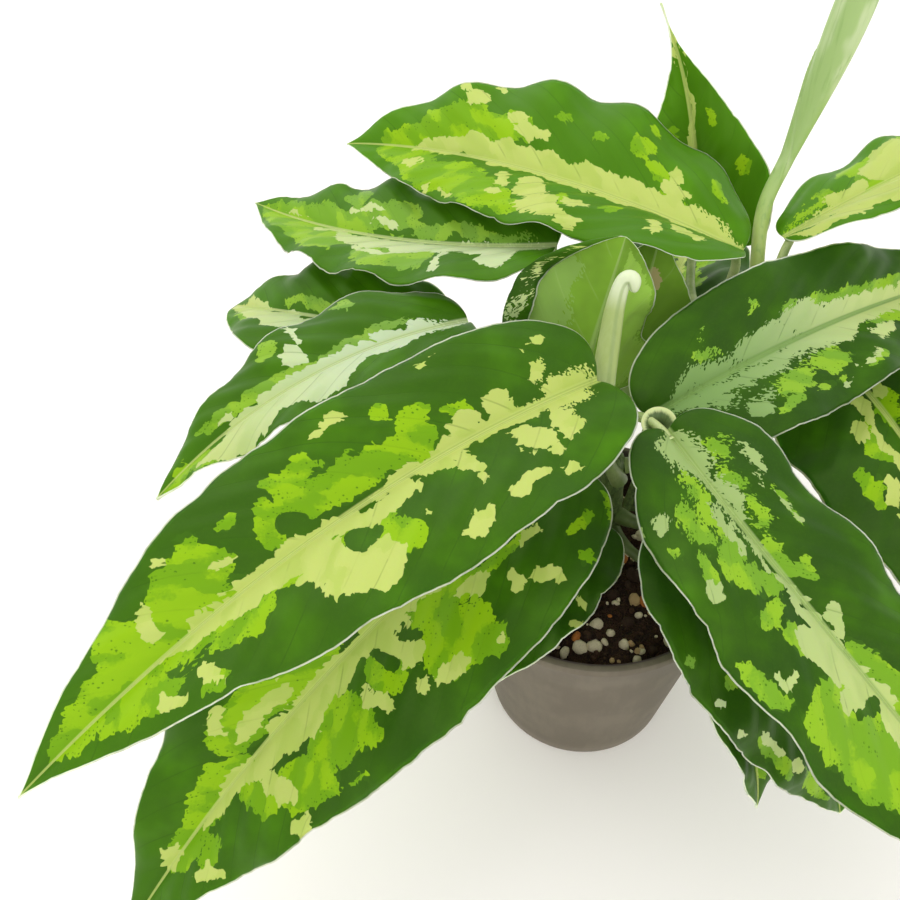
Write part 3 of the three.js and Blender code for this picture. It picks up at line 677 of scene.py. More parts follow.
def buildBladeMaterial():
    made, net, shader = newMaterial("evergreenLeaf", **{
        "Specular IOR Level": 0.24, "Specular Tint": (0.8, 1.0, 0.4, 1.0), "Subsurface Weight": 0.25,
        "Subsurface Radius": (0.6, 1.0, 0.2), "Subsurface Scale": 0.0014})
    tone = bladeColors
    x, veinLine, seed = net.parts(attribute(net, "veinPlace"))
    gap, share, _ = net.parts(attribute(net, "bladePlace"))
    feather, silver, backlit = net.parts(attribute(net, "bladeTone"))
    u, v, grey = net.parts(attribute(net, "patchPlace"))
    under = attribute(net, "underside", "Fac")
    onRight = x < 0.0
    flat = net.vector(u + seed * 61.0 + onRight * 137.0, v, 0.0)

    # patches are decided cell by cell, so that their outlines run along the side veins in short straight steps
    sway = net.add("ShaderNodeTexNoise", None, {"Vector": flat, "Scale": 0.3, "Detail": 1.0})
    swayed = flat + (net.get(sway, "Color") - (0.5, 0.5, 0.5)) * 1.4
    cellSize, cellCount = (2.2, 1.1, 1.0), (1 / 2.2, 1 / 1.1, 1.0)
    centre = net.cells(swayed * cellCount, 1.0, "Position", "2D") * cellSize
    cell = swayed + (centre - swayed) * 0.6
    toCellU, toCellV, _ = net.parts(cell - swayed)
    fineDice, _, _ = net.parts(net.cells(flat * (1.2, 2.6, 1.0), 1.0, "Color", "2D"))
    fringe = (fineDice - 0.5) * feather * 5.0

    def patchMask(kind, place):
        distance, slopeU, slopeV = net.parts(attribute(net, kind + "Edge"))
        broad = (net.noise(cell * (0.5, 1.2, 1.0) + place, 0.2, 1.0, 0.5) - 0.5) * 4.6
        small = (net.noise(cell * (0.6, 1.1, 1.0) + place, 0.6, 1.0, 0.5) - 0.5) * 0.9
        atCell = distance + slopeU * toCellU + slopeV * toCellV
        inside = atCell + broad + small + fringe
        return net.step(inside, -0.05, 0.05), inside

    creamMask, _ = patchMask("cream", (3.0, 60.0, 0.0))
    limeMask, limeInside = patchMask("lime", (90.0, 7.0, 0.0))
    midMask, _ = patchMask("lime", (150.0, 30.0, 5.0))

    # grounds of the three colours
    cloud = net.noise(flat, 0.05, 3.0, 0.55)
    grain = net.noise(flat, 1.3, 3.0, 0.6)
    blotch = net.noise(cell * (0.6, 1.2, 1.0) + (5.0, 9.0, 0.0), 0.12, 1.0, 0.5)
    dark = net.mix(net.step(cloud, 0.35, 0.6), tone["darkShade"], tone["dark"])
    # painted light: the dark green brightens towards a lit-through green on back-lit blades, towards the tips, in
    # broad cloudy patches of painted sheen and in a faint grain
    dark = net.mix(net.smaller(backlit + net.step(share, 0.6, 1.0) * 0.35 + net.step(cloud, 0.5, 0.8) * 0.5, 1.0),
                   dark, tone["darkBacklit"])
    dark = net.mix(net.step(grain, 0.45, 0.8) * 0.1, dark, tone["darkBacklit"])
    dark = net.mix(midMask * 0.35, dark, tone["middle"])
    lime = net.mix(net.step(blotch + (grain - 0.5) * 0.1, 0.46, 0.54), tone["limeDeep"], tone["lime"])
    lime = net.mix(silver * 0.5, lime, tone["silverDeep"])
    speckPlace = flat * (0.9, 1.2, 1.0)
    speckCells = net.cells(speckPlace, 1.1, "Distance", "2D")
    speckDice, speckSize, _ = net.parts(net.cells(speckPlace, 1.1, "Color", "2D"))
    crowd = net.step(limeInside, 4.0, 0.0) * net.step(grain, 0.4, 0.6) * 0.5 + 0.02
    specks = (1.0 - net.step(speckCells - speckSize * 0.16, 0.08, 0.26)) * (speckDice < crowd)
    lime = net.mix(specks * 0.75, lime, tone["speck"])
    cream = net.mix(net.step(blotch, 0.5, 0.6) * 0.5, tone["cream"], tone["creamGreen"])
    cream = net.mix(net.step(grain, 0.5, 0.8) * 0.1, cream, tone["creamGreen"])
    cream = net.mix(silver, cream, tone["silver"])
    cream = net.mix(grey * net.step(share, 0.65, 0.1), cream, tone["grey"])

    look = net.mix(limeMask, dark, lime)
    look = net.mix(creamMask, look, cream)

    # fine side veins, the midrib and its lines
    fromMidrib = abs(x)
    veinBeat = net.fraction(veinLine / veinSpacing + onRight * 0.382)
    veinNear = abs(veinBeat - 0.5) * veinSpacing
    veinInk = (1.0 - net.step(veinNear, 0.1, 0.5)) * net.step(fromMidrib, 1.0, 3.0) * net.step(cloud, 0.35, 0.6)
    look = net.mix(veinInk * (0.3 - limeMask * 0.2), look, tone["darkShade"])
    ribHalf = ((1.0 - share) ** 0.8) * 1.1 + 0.2
    ribMask = 1.0 - net.step(fromMidrib / ribHalf, 0.6, 1.2)
    ribLines = (1.0 - net.step(abs(fromMidrib / ribHalf - 0.5), 0.08, 0.2)) * 0.35
    ribCentre = (1.0 - net.step(fromMidrib / ribHalf, 0.05, 0.2)) * 0.4
    ribGround = net.mix(grey, net.mix(silver * 0.7, tone["rib"], tone["silver"]), tone["grey"])
    rib = net.mix(net.larger(ribLines, ribCentre), ribGround, tone["ribLine"])
    look = net.mix(ribMask * 0.85, look, rib)
    edgeDice = net.noise(net.vector(veinLine, 0.0, seed), 0.12, 2.0, 0.5)
    edge = (1.0 - net.step(gap, 0.28, 0.52)) * (net.step(edgeDice, 0.3, 0.55) * 0.45 + 0.55)
    look = net.mix(edge, look, tone["margin"])

    # the underside is paler, with the patches faintly showing through and a pale widened foot of the midrib
    below = net.mix(net.step(cloud, 0.38, 0.62), tone["underDeep"], tone["under"])
    below = net.mix(limeMask * 0.6, below, tone["underLime"])
    below = net.mix(creamMask * 0.6, below, tone["underPatch"])
    below = net.mix(creamMask * net.larger(grey - 1.0, 0.0), below, tone["underTan"])
    foot = net.larger(1.0 - share / 0.4, 0.0)
    footMask = 1.0 - net.step(fromMidrib - foot * foot * 14.0, -2.0, 2.0)
    below = net.mix(net.larger(ribMask * 0.4, footMask * foot), below, tone["underRib"])
    below = net.mix(veinInk * 0.15, below, tone["underRib"])
    below = net.mix(edge * 0.9, below, tone["margin"])
    look = net.mix(under, look, below)
    net.feed(shader.inputs["Base Color"], look)

    net.feed(shader.inputs["Roughness"], 0.38 + grain * 0.1 + under * 0.14)
    pebble = net.noise(flat, 2.2, 2.0, 0.6)
    height = pebble * 0.3 - veinInk * 0.6 - (ribLines + ribCentre) * 1.2
    net.feed(shader.inputs["Normal"], bumpOf(net, height, 0.1 * mm, 0.5))
    return made


# painted light: the per-leaf brightening of the dark green, as if lit through from behind, is set here
bladeExtras = {  # what single leaves have of their own: angles in degrees, ripple and scallop in millimetres
    "front_left": {"cup": 10, "waist": 0.12, "backlit": 0.2, "feather": 0.16},
    "lower_left": {"cup": 8, "ripple": 1.2, "backlit": 0.12},
    "front_right": {"cup": 30, "widen": 0.985, "ripple": 1.0, "scallop": 3.0, "kinkPhase": 0.0, "waist": -0.14,
                    "waistTo": 1.2, "feather": 0.3, "featherWide": 1.6, "silver": 0.3, "grey": 0.6},
    "right": {"cup": 14, "silver": 0.5, "grey": 1.0, "feather": 0.75, "featherWide": 1.3},
    "hood": {"waist": -0.4, "waistFrom": 0.2, "waistTo": 1.3, "rollSide": -1, "rollStart": 0.74, "rollTurn": -165,
             "widen": 1.16, "ripple": 1.0, "scallop": 1.2, "silver": 0.6, "grey": 1.0, "feather": 1.2,
             "featherWide": 2.2},
    "hood_right": {"ripple": 1.0, "grey": 1.9},
    "low_right": {"silver": 0.7, "ripple": 1.6},
    "top_left": {"cup": 6, "ribShift": 0.09, "backlit": 0.75},
    "middle_left": {"silver": 0.6, "backlit": 0.5, "ripple": 1.4},
    "side_left": {"silver": 0.9, "backlit": 0.35, "ripple": 1.2},
    "hidden_left": {"silver": 0.9, "backlit": 0.4},
    "upper_right": {"backlit": 0.9},
    "behind_right": {"ribShift": 0.24},
    "upright": {"backlit": 0.8},
}


def makeBlade(tree, material, name, leaf, seed):
    points, lefts, faces = marchSpine(leaf)
    spine = pathMesh(name, [points], {"left": lefts, "face": faces})
    extra = bladeExtras.get(name, {})
    sizes = {**bladeSizes, **leafSizes(leaf, extra, seed)}
    blade = runTree(tree, spine, "blade_" + name, sizes, material)
    storePatches(blade.data, patches.get(name) or seededPatches(seed), leaf, seed, extra)
    return blade


bladeTree = buildBladeTree()
leafMaterial = buildBladeMaterial()
blades = {}
for seed, (name, leaf) in enumerate(leaves.items()):
    blades[name] = makeBlade(bladeTree, leafMaterial, name, leaf, seed)
print("blades made:", len(blades), "with", sum(len(blade.data.polygons) for blade in blades.values()), "faces")


# Stalks and canes

stalkSizes = {"Sides": 14}


def buildStalkTree():
    tree, net, given = newTree("stalkTube", stalkSizes)
    line = net.get(net.add("GeometryNodeMeshToCurve", None, {0: given["Geometry"]}))
    thickness = named(net, "stalkRadius", "FLOAT")
    line = net.get(net.add("GeometryNodeSetCurveRadius", None, {"Curve": line, "Radius": thickness}))
    ring = net.get(net.add("GeometryNodeCurvePrimitiveCircle", {"mode": "RADIUS"},
                           {"Resolution": given["Sides"], "Radius": 1.0}))
    inputs = {"Curve": line, "Profile Curve": ring, "Fill Caps": True}
    tubeNode = net.add("GeometryNodeCurveToMesh", None, inputs)
    if "Scale" in tubeNode.inputs:
        net.feed(tubeNode.inputs["Scale"], thickness)
    endTree(net, net.get(tubeNode), given)
    return tree


def bezier(points, share):
    points = [Vector(point) for point in points]
    while len(points) > 1:
        points = [first.lerp(second, share) for first, second in zip(points, points[1:])]
    return points[0]


def smoothPath(corners, steps):  # an even Catmull-Rom line through the corners
    corners = [Vector(corner) for corner in corners]
    padded = [corners[0] * 2 - corners[1], *corners, corners[-1] * 2 - corners[-2]]
    fine = []
    for index in range(len(corners) - 1):
        a, b, c, d = padded[index:index + 4]
        for step in range(60):
            t = step / 60
            square, cube = (2 * a - 5 * b + 4 * c - d) * t ** 2, (3 * b - a - 3 * c + d) * t ** 3
            fine.append(0.5 * (2 * b + (c - a) * t + square + cube))
    fine.append(corners[-1])
    lengths = np.cumsum([0] + [(second - first).length for first, second in zip(fine, fine[1:])])
    spread = np.array([tuple(point) for point in fine])
    even = np.linspace(0, lengths[-1], steps + 1)
    return [Vector([np.interp(at, lengths, spread[:, axis]) for axis in range(3)]) for at in even]


stalkSteps, caneSteps = 28, 90


def stalkPath(leaf, steps=stalkSteps):
    cane = canes[leaf["cane"]]
    bones = [cane["foot"], cane["bend"], cane["top"]]
    along = (bezier(bones, leaf["along"] + 0.01) - bezier(bones, leaf["along"] - 0.01)).normalized()
    outward = Vector((math.cos(math.radians(leaf["side"])), math.sin(math.radians(leaf["side"])), 0))
    outward = (outward - along * outward.dot(along)).normalized()
    foot = bezier(bones, leaf["along"]) + outward * (cane["radius"] - 0.6)
    points, lefts, faces = marchSpine(leaf)
    place = Vector(leaf["base"])
    forward = lefts[0].cross(faces[0])
    span = (foot - place).length
    if "via" in leaf:
        neck = place + forward * 3.0 - faces[0] * 0.9
        return [point * mm for point in smoothPath([foot, *leaf["via"], neck], steps)]
    hooks = [foot, foot + outward * 0.3 * span, place - Vector((0, 0, 0.3 * span)) - forward * 0.1 * span,
             place + forward * 3.0 - faces[0] * 0.9]
    return [bezier(hooks, step / steps) * mm for step in range(steps + 1)]


def stalkRadius(share):  # a sheath clasps the cane, then the stalk slims towards the blade
    sheath = 0.9 * max(0, 1 - share / 0.35) ** 1.4
    close = min(1, 0.55 + (1 - share) * 8)
    return (1.9 - 0.55 * share + sheath) * close * mm


def caneRadius(cane, share):
    ringed = abs(math.sin(math.pi * 7 * share)) ** 0.35
    tip = math.sqrt(max(0.02, 1 - max(0, (share - 0.93) / 0.07) ** 2))
    return (cane["radius"] - 0.45 + 0.45 * (1 - ringed)) * tip * mm


# painted shade: the cane and foot greens are darkened, as the canes and stalk feet stand in the shade under the
# leaves; the cane green is partly its own colour
stemColors = {"stalk": color(140, 162, 92), "pale": color(188, 200, 136), "fleck": color(96, 130, 58),
              "cane": color(66, 84, 40), "scar": color(96, 88, 56), "foot": color(72, 92, 44)}


def buildStalkMaterial():
    made, net, shader = newMaterial("leafStalk", **{"Subsurface Weight": 0.15, "Subsurface Radius": (0.7, 1.0, 0.3),
                                                    "Subsurface Scale": 0.0015})
    place = millimetres(net)
    streak = net.noise(place * (1.0, 1.0, 0.25), 0.9, 3.0, 0.6)
    blotch = net.noise(place, 0.16, 2.0, 0.5)
    fleck = net.step(net.noise(place * (1.0, 1.0, 0.5), 2.1, 2.0, 0.5), 0.6, 0.68)
    look = net.mix(net.step(blotch, 0.36, 0.66), stemColors["stalk"], stemColors["pale"])
    look = net.mix(streak * 0.4, look, stemColors["pale"])
    look = net.mix(fleck * 0.35, look, stemColors["fleck"])
    _, _, height = net.parts(place)
    # painted shade: the stalks darken towards their feet, low among the leaves where shade falls
    look = net.mix(net.step(height, 118.0, 94.0) * 0.75, look, stemColors["foot"])
    return dress(made, net, shader, look, 0.34 + streak * 0.16, bumpOf(net, streak, 0.15 * mm, 0.5))


def buildCaneMaterial():
    made, net, shader = newMaterial("greenCane", **{"Subsurface Weight": 0.05, "Subsurface Scale": 0.001})
    place = millimetres(net)
    _, _, height = net.parts(place)
    rings = net.noise(net.vector(0.0, 0.0, height), 0.55, 2.0, 0.7)
    bark = net.noise(place * (1.0, 1.0, 0.4), 1.2, 4.0, 0.65)
    # the cane green is partly its own colour, partly painted shade: darkened because the canes stand in the shade
    # under the leaves
    look = net.mix(net.step(bark, 0.35, 0.7) * 0.5, stemColors["cane"], stemColors["stalk"])
    look = net.mix(net.step(rings, 0.55, 0.72) * 0.6, look, stemColors["scar"])
    return dress(made, net, shader, look, 0.42 + bark * 0.2, bumpOf(net, bark + rings, 0.25 * mm, 0.6))


stalkTree = buildStalkTree()
stalkPaths = [stalkPath(leaf) for leaf in leaves.values()]
stalkRadii = [stalkRadius(step / stalkSteps) for _ in leaves for step in range(stalkSteps + 1)]
stalkSource = pathMesh("leaf_stalks", stalkPaths, {"stalkRadius": stalkRadii})
stalks = runTree(stalkTree, stalkSource, "leaf_stalks", stalkSizes, buildStalkMaterial())

canePaths, caneRadii = [], []
for cane in canes.values():
    bones = [cane["foot"], cane["bend"], cane["top"]]
    canePaths.append([bezier(bones, step / caneSteps) * mm for step in range(caneSteps + 1)])
    caneRadii += [caneRadius(cane, step / caneSteps) for step in range(caneSteps + 1)]
caneSource = pathMesh("canes", canePaths, {"stalkRadius": caneRadii})
caneObject = runTree(stalkTree, caneSource, "canes", {"Sides": 28}, buildCaneMaterial())
print("stalks and canes made")


# Rolled new leaf and flower bud

newLeafLook = {"path": [(58.1, 66.2, 125.9), (60, 79, 145), (66.5, 84, 165), (73, 83, 205), (78, 80, 249.6)],
               "radius": 5.2, "footRadius": 2.2, "sides": 96, "steps": 220, "turns": 1.35}
budLook = {"path": [(4.5, 12.7, 108.9), (1.5, 16.5, 128), (3, 22.5, 147), (4.6, 25.8, 156), (6.2, 27, 160),
                    (8.2, 26.4, 160.6), (8.8, 24.8, 157.2)], "radius": 3.0, "sides": 40, "steps": 140}


def sweep(name, path, radiusAt, sides, material):  # rings carried along the path, closed at both ends
    ahead, behind = path[1:] + path[-1:], path[:1] + path[:-1]
    tangents = [(after - before).normalized() for after, before in zip(ahead, behind)]
    normal = tangents[0].orthogonal().normalized()
    points, place = [], []
    for index, (centre, tangent) in enumerate(zip(path, tangents)):
        normal = (normal - tangent * normal.dot(tangent)).normalized()
        side = tangent.cross(normal)
        share = index / (len(path) - 1)
        for corner in range(sides):
            angle = math.tau * corner / sides
            radius = radiusAt(share, angle)
            points.append((centre + (normal * math.cos(angle) + side * math.sin(angle)) * radius) * mm)
            place.append((angle * 4.0, share * len(path), share))
    faces = []
    for row in range(len(path) - 1):
        for corner in range(sides):
            after = (corner + 1) % sides
            low, high = row * sides, (row + 1) * sides
            faces.append((low + corner, low + after, high + after, high + corner))
    first, last = len(points), len(points) + 1
    points += [path[0] * mm, path[-1] * mm]
    place += [(0, 0, 0), (0, len(path), 1)]
    top = (len(path) - 1) * sides
    for corner in range(sides):
        after = (corner + 1) % sides
        faces.append((first, after, corner))
        faces.append((last, top + corner, top + after))
    mesh = solidMesh(name, points, faces, material)
    storeVectors(mesh, "stemPlace", *zip(*place))
    return addObject(name, mesh)


def newLeafRadius(share, angle):
    place = 0.04 + 0.9 * share ** 1.6
    spindle = newLeafLook["radius"] * max(0.0, math.sin(math.pi * place)) ** 1.4
    body = max(newLeafLook["footRadius"], spindle) if share < 0.5 else spindle
    turn = (angle / math.tau + share * newLeafLook["turns"]) % 1.0  # the free margin winds slowly round
    lip = 0.2 * turn * min(1, share * 5) * (1 - max(0, (share - 0.9) / 0.1))
    return body * (0.97 + lip)


def budRadius(share, angle):
    swell = budLook["radius"] * (0.84 + 0.26 * math.sin(math.pi * min(1, share * 1.15)) - 0.14 * share ** 4)
    seam = 1 - 0.07 * math.exp(-((angle - 4.4) / 0.22) ** 2)
    intoCap = max(0, (share - 0.92) / 0.08)
    return swell * math.sqrt(max(0.0, 1 - intoCap ** 2)) * seam + 0.02


# painted shade: the darkest bud green is a shadow line, used for the slit along the bud's seam
paleColors = {"body": color(166, 194, 122), "light": color(204, 218, 170), "vein": color(134, 170, 92),
              "foot": color(174, 194, 104), "bud": color(158, 176, 92), "budLight": color(222, 230, 196),
              "budShade": color(168, 188, 124), "budSlitShadow": color(120, 146, 66)}


def buildNewLeafMaterial():
    made, net, shader = newMaterial("rolledLeaf", **{"Subsurface Weight": 0.2, "Subsurface Radius": (0.8, 1.1, 0.4),
                                                     "Subsurface Scale": 0.002})
    _, _, share = net.parts(attribute(net, "stemPlace"))
    place = millimetres(net)
    streak = net.noise(place * (1.0, 1.0, 0.06), 0.7, 3.0, 0.6)
    patch = net.step(net.noise(place * (1.0, 1.0, 0.3), 0.12, 2.0, 0.5), 0.5, 0.62)
    look = net.mix(patch * 0.7, paleColors["body"], paleColors["light"])
    look = net.mix(net.step(share, 0.35, 0.05), look, paleColors["foot"])
    look = net.mix(net.step(streak, 0.5, 0.75) * 0.6, look, paleColors["vein"])
    return dress(made, net, shader, look, 0.4 + streak * 0.12, bumpOf(net, streak, 0.2 * mm, 0.5))


def buildBudMaterial():
    made, net, shader = newMaterial("flowerBud", **{"Subsurface Weight": 0.25, "Subsurface Radius": (0.9, 1.0, 0.5),
                                                    "Subsurface Scale": 0.002})
    around, _, share = net.parts(attribute(net, "stemPlace"))
    place = millimetres(net)
    streak = net.noise(place * (1.0, 1.0, 0.2), 0.8, 3.0, 0.6)
    look = net.mix(net.step(share, 0.2, 0.55), paleColors["budShade"], paleColors["bud"])
    look = net.mix(net.step(share, 0.74, 0.88) * 0.85, look, paleColors["budLight"])
    # painted shade: a darker line along the bud's seam, where the bent-over flap leaves a shadowed slit
    fold = 1.0 - net.step(abs(around - 17.6 + share * 2.0), 0.3, 1.3)
    look = net.mix(fold * 0.55, look, paleColors["budSlitShadow"])
    look = net.mix(streak * 0.25, look, paleColors["budLight"])
    return dress(made, net, shader, look, 0.38 + streak * 0.1, bumpOf(net, streak, 0.2 * mm, 0.4))


cupLook = {"centre": (14.9, 0.9, 131.2), "axis": (-0.1, -0.3, 0.95), "from": -60, "to": 300, "rim": 5.6,
           "foot": 2.2, "deep": 5.0, "wall": 0.45, "steps": 90, "rows": 14}
cupColors = {"rim": color(206, 216, 150), "outside": color(142, 166, 92), "inside": color(60, 88, 36)}


def buildCupMaterial():
    made, net, shader = newMaterial("clasp", **{"Subsurface Weight": 0.1, "Subsurface Scale": 0.001})
    across, share, height = net.parts(attribute(net, "stemPlace"))
    streak = net.noise(net.vector(share * 40.0, height * 2.0, 0.0), 1.0, 2.0, 0.6)
    look = net.mix(across, cupColors["inside"], cupColors["outside"])
    look = net.mix(net.step(height + streak * 0.2, 0.86, 1.04), look, cupColors["rim"])
    look = net.mix(streak * 0.2, look, cupColors["rim"])
    return dress(made, net, shader, look, 0.4 + streak * 0.1, bumpOf(net, streak, 0.1 * mm, 0.5))


def makeCup(look, material):  # the leaf's foot, rolled into a small funnel whose turns overlap
    up = Vector(look["axis"]).normalized()
    first = Vector((1, 0, 0)).cross(up).cross(up).normalized() * -1
    second = up.cross(first)
    rows = look["rows"]
    loop = [(1, row / rows) for row in range(rows + 1)] + [(-1, 1 - row / rows) for row in range(rows + 1)]
    points, place, faces = [], [], []
    for step in range(look["steps"] + 1):
        share = step / look["steps"]
        angle = math.radians(look["from"] + (look["to"] - look["from"]) * share)
        wind = 0.72 + 0.34 * share
        dip = 1.5 * (1 - share) ** 2
        wall = look["wall"] * min(1.0, 14 * share + 0.15, 14 * (1 - share) + 0.15)
        for side, height in loop:
            radius = (look["foot"] + (look["rim"] - look["foot"]) * height ** 1.6) * wind
            rounded = wall * (1 - height ** 8 * 0.8)
            flat = first * math.cos(angle) + second * math.sin(angle)
            lift = up * (height - 1) * look["deep"]
            spot = Vector(look["centre"]) + flat * (radius + side * rounded) + lift - up * dip * height
            points.append(spot * mm)
            place.append((0.5 + 0.5 * side, share, height))
    ring = len(loop)
    for step in range(look["steps"]):
        for corner in range(ring):
            after = (corner + 1) % ring
            low, high = step * ring, (step + 1) * ring
            faces.append((low + corner, high + corner, high + after, low + after))
    faces += [tuple(range(ring)), tuple(reversed(range(len(points) - ring, len(points))))]
    mesh = solidMesh("leaf_clasp", points, faces, material)
    storeVectors(mesh, "stemPlace", *zip(*place))
    shell = bmesh.new()
    shell.from_mesh(mesh)
    bmesh.ops.recalc_face_normals(shell, faces=shell.faces)
    shell.to_mesh(mesh)
    shell.free()
    return addObject("leaf_clasp", mesh)


clasp = makeCup(cupLook, buildCupMaterial())
newLeafPath = smoothPath(newLeafLook["path"], newLeafLook["steps"])
newLeaf = sweep("new_leaf", newLeafPath, newLeafRadius, newLeafLook["sides"], buildNewLeafMaterial())
bud = sweep("bud", smoothPath(budLook["path"], budLook["steps"]), budRadius, budLook["sides"], buildBudMaterial())
print("new leaf and bud made")


# Pot

potLook = {"height": 78, "rim": 45, "base": 31, "wall": 1.6, "floor": 2.2, "lip": 3.6, "overhang": 1.1, "drains": 6,
           "drainRadius": 3.2, "drainCircle": 19, "segments": 144}


def potWallAt(height):
    return potLook["base"] + (potLook["rim"] - potLook["overhang"] - potLook["base"]) * height / potLook["height"]


def makePot():
    look = potLook
    base, rim, top = look["base"], look["rim"], look["height"]
    lipFoot = top - look["lip"]
    innerRim = potWallAt(top) - look["wall"]
    profile = [
        (0, 1.2), (base - 6.2, 1.2), (base - 5.4, 0.9), (base - 4.8, 0.25), (base - 4.2, 0),
        (base - 1.1, 0), (base - 0.35, 0.3), (potWallAt(1), 1.1), (potWallAt(6), 6),
        (potWallAt(20), 20), (potWallAt(40), 40), (potWallAt(60), 60), (potWallAt(lipFoot - 0.5), lipFoot - 0.5),
        (potWallAt(lipFoot) + 0.25, lipFoot - 0.1), (rim - 0.45, lipFoot + 0.05), (rim - 0.1, lipFoot + 0.4),
        (rim, lipFoot + 1.2), (rim, top - 0.9), (rim - 0.25, top - 0.25),
        (rim - 0.8, top), (innerRim + 0.6, top), (innerRim + 0.12, top - 0.25),
        (innerRim, top - 0.8), (potWallAt(60) - look["wall"], 60), (potWallAt(30) - look["wall"], 30),
        (potWallAt(4) - look["wall"], 4), (potWallAt(4) - look["wall"] - 1.5, look["floor"]), (0, look["floor"]),
    ]
    points, faces = [], []
    count = look["segments"]
    for radius, height in profile:
        for corner in range(count):
            angle = math.tau * corner / count
            points.append((radius * math.cos(angle) * mm, radius * math.sin(angle) * mm, height * mm))
    for row in range(len(profile) - 1):
        for corner in range(count):
            after = (corner + 1) % count
            low, high = row * count, (row + 1) * count
            faces.append((low + corner, low + after, high + after, high + corner))
    pot = addObject("nursery_pot", solidMesh("pot", points, faces))
    weldAndCut(pot)
    return pot


def weldAndCut(pot):  # closes the lathe's poles, then cuts the drain holes
    body = bmesh.new()
    body.from_mesh(pot.data)
    bmesh.ops.remove_doubles(body, verts=body.verts, dist=0.001 * mm)
    bmesh.ops.dissolve_degenerate(body, dist=0.001 * mm, edges=body.edges)
    bmesh.ops.recalc_face_normals(body, faces=body.faces)
    body.to_mesh(pot.data)
    body.free()
    drills = bmesh.new()
    for hole in range(potLook["drains"]):
        angle = math.tau * (hole + 0.5) / potLook["drains"]
        centre = Vector((math.cos(angle), math.sin(angle), 0)) * potLook["drainCircle"] * mm
        bmesh.ops.create_cone(drills, cap_ends=True, segments=32, radius1=potLook["drainRadius"] * mm,
                              radius2=potLook["drainRadius"] * mm, depth=10 * mm, matrix=Matrix.Translation(centre))
    drillObject = addObject("drills", meshOf(drills, "drills"))
    cut = pot.modifiers.new("drains", "BOOLEAN")
    cut.operation, cut.solver, cut.object = "DIFFERENCE", "EXACT", drillObject
    graph = bpy.context.evaluated_depsgraph_get()
    mesh = bpy.data.meshes.new_from_object(pot.evaluated_get(graph))
    pot.modifiers.clear()
    pot.data = mesh
    bpy.data.objects.remove(drillObject)
    smoothen(mesh)
    mesh.set_sharp_from_angle(angle=math.radians(38))


# painted shade: the inside colour darkens the pot's inner wall, where shade falls inside the pot
potColors = {"plastic": color(100, 91, 76), "dull": color(112, 103, 87), "dust": color(150, 140, 124),
             "inside": color(72, 60, 60)}


def buildPotMaterial():
    made, net, shader = newMaterial("potPlastic", **{"Specular IOR Level": 0.4})
    place = millimetres(net)
    x, y, z = net.parts(place)
    fromAxis = net.maths("SQRT", x * x + y * y)
    flare = (potLook["rim"] - potLook["overhang"] - potLook["base"]) / potLook["height"]
    wallHere = z * flare + potLook["base"] - 0.8
    isInside = net.step(fromAxis - wallHere, 0.2, -0.2)
    mould = net.noise(place, 3.2, 3.0, 0.6)
    cloud = net.noise(place, 0.05, 3.0, 0.55)
    streak = net.noise(place * (1.0, 1.0, 0.12), 0.35, 3.0, 0.6)
    look = net.mix(net.step(cloud + (streak - 0.5) * 0.5, 0.35, 0.7), potColors["plastic"], potColors["dull"])
    dusty = net.step(z, 10.0, 0.0) * 0.35 + net.step(mould, 0.62, 0.75) * 0.12
    look = net.mix(dusty, look, potColors["dust"])
    # painted shade: the inner wall is darkened, as shade falls inside the pot
    look = net.mix(isInside * 0.85, look, potColors["inside"])
    roughness = 0.5 + mould * 0.14 + streak * 0.06
    return dress(made, net, shader, look, roughness, bumpOf(net, mould + streak * 0.6, 0.08 * mm, 0.5))


pot = makePot()
pot.data.materials.clear()
pot.data.materials.append(buildPotMaterial())
print("pot made")


# Soil

soilLook = {"level": 68, "bump": 0.9, "bottom": 2.5, "rings": 70, "segments": 150, "clearance": 2.2,
            "beatX": 0.21, "beatY": 0.17, "crumbs": ((0.9, 0.35), (1.9, 0.22), (4.1, 0.12))}
gritSizes = {"Density": 70000.0, "Smallest": 0.5, "Largest": 2.9, "Reach": 38.5 * mm,
             "Level": 60.0 * mm, "Seed": 5}


def soilTopAt(x, y):
    beatX, beatY = soilLook["beatX"], soilLook["beatY"]
    broad = math.sin(x * beatX + 1) * math.cos(y * beatY)
    fine = math.sin(2 * (x * beatX - y * beatY)) / 2
    crumbs = 0.0
    for scale, height in soilLook["crumbs"]:
        crumbs += height * math.sin(x * scale + 3 * math.sin(y * scale * 0.7)) * math.cos(y * scale * 1.1 + x * 0.3)
    return soilLook["level"] + soilLook["bump"] * (broad + fine) + crumbs


def makeSoil(material):
    look = soilLook
    edge = potWallAt(look["level"]) - potLook["wall"] - 0.35
    foot = potWallAt(look["bottom"]) - potLook["wall"] - look["clearance"]
    count = look["segments"]
    rings = [edge * (index / look["rings"]) ** 0.8 for index in range(1, look["rings"] + 1)]
    points, faces = [(0, 0, soilTopAt(0, 0) * mm)], []
    for radius in rings:
        for corner in range(count):
            angle = math.tau * corner / count
            x, y = radius * math.cos(angle), radius * math.sin(angle)
            points.append((x * mm, y * mm, soilTopAt(x, y) * mm))
    for corner in range(count):
        angle = math.tau * corner / count
        points.append((foot * math.cos(angle) * mm, foot * math.sin(angle) * mm, look["bottom"] * mm))
    points.append((0, 0, look["bottom"] * mm))
    for corner in range(count):
        after = (corner + 1) % count
        faces.append((0, 1 + corner, 1 + after))
        for row in range(len(rings)):
            low, high = 1 + row * count, 1 + (row + 1) * count
            faces.append((low + corner, high + corner, high + after, low + after))
        last = 1 + len(rings) * count
        faces.append((last + corner, len(points) - 1, last + after))
    return addObject("potting_soil", solidMesh("potting_soil", points, faces, material))


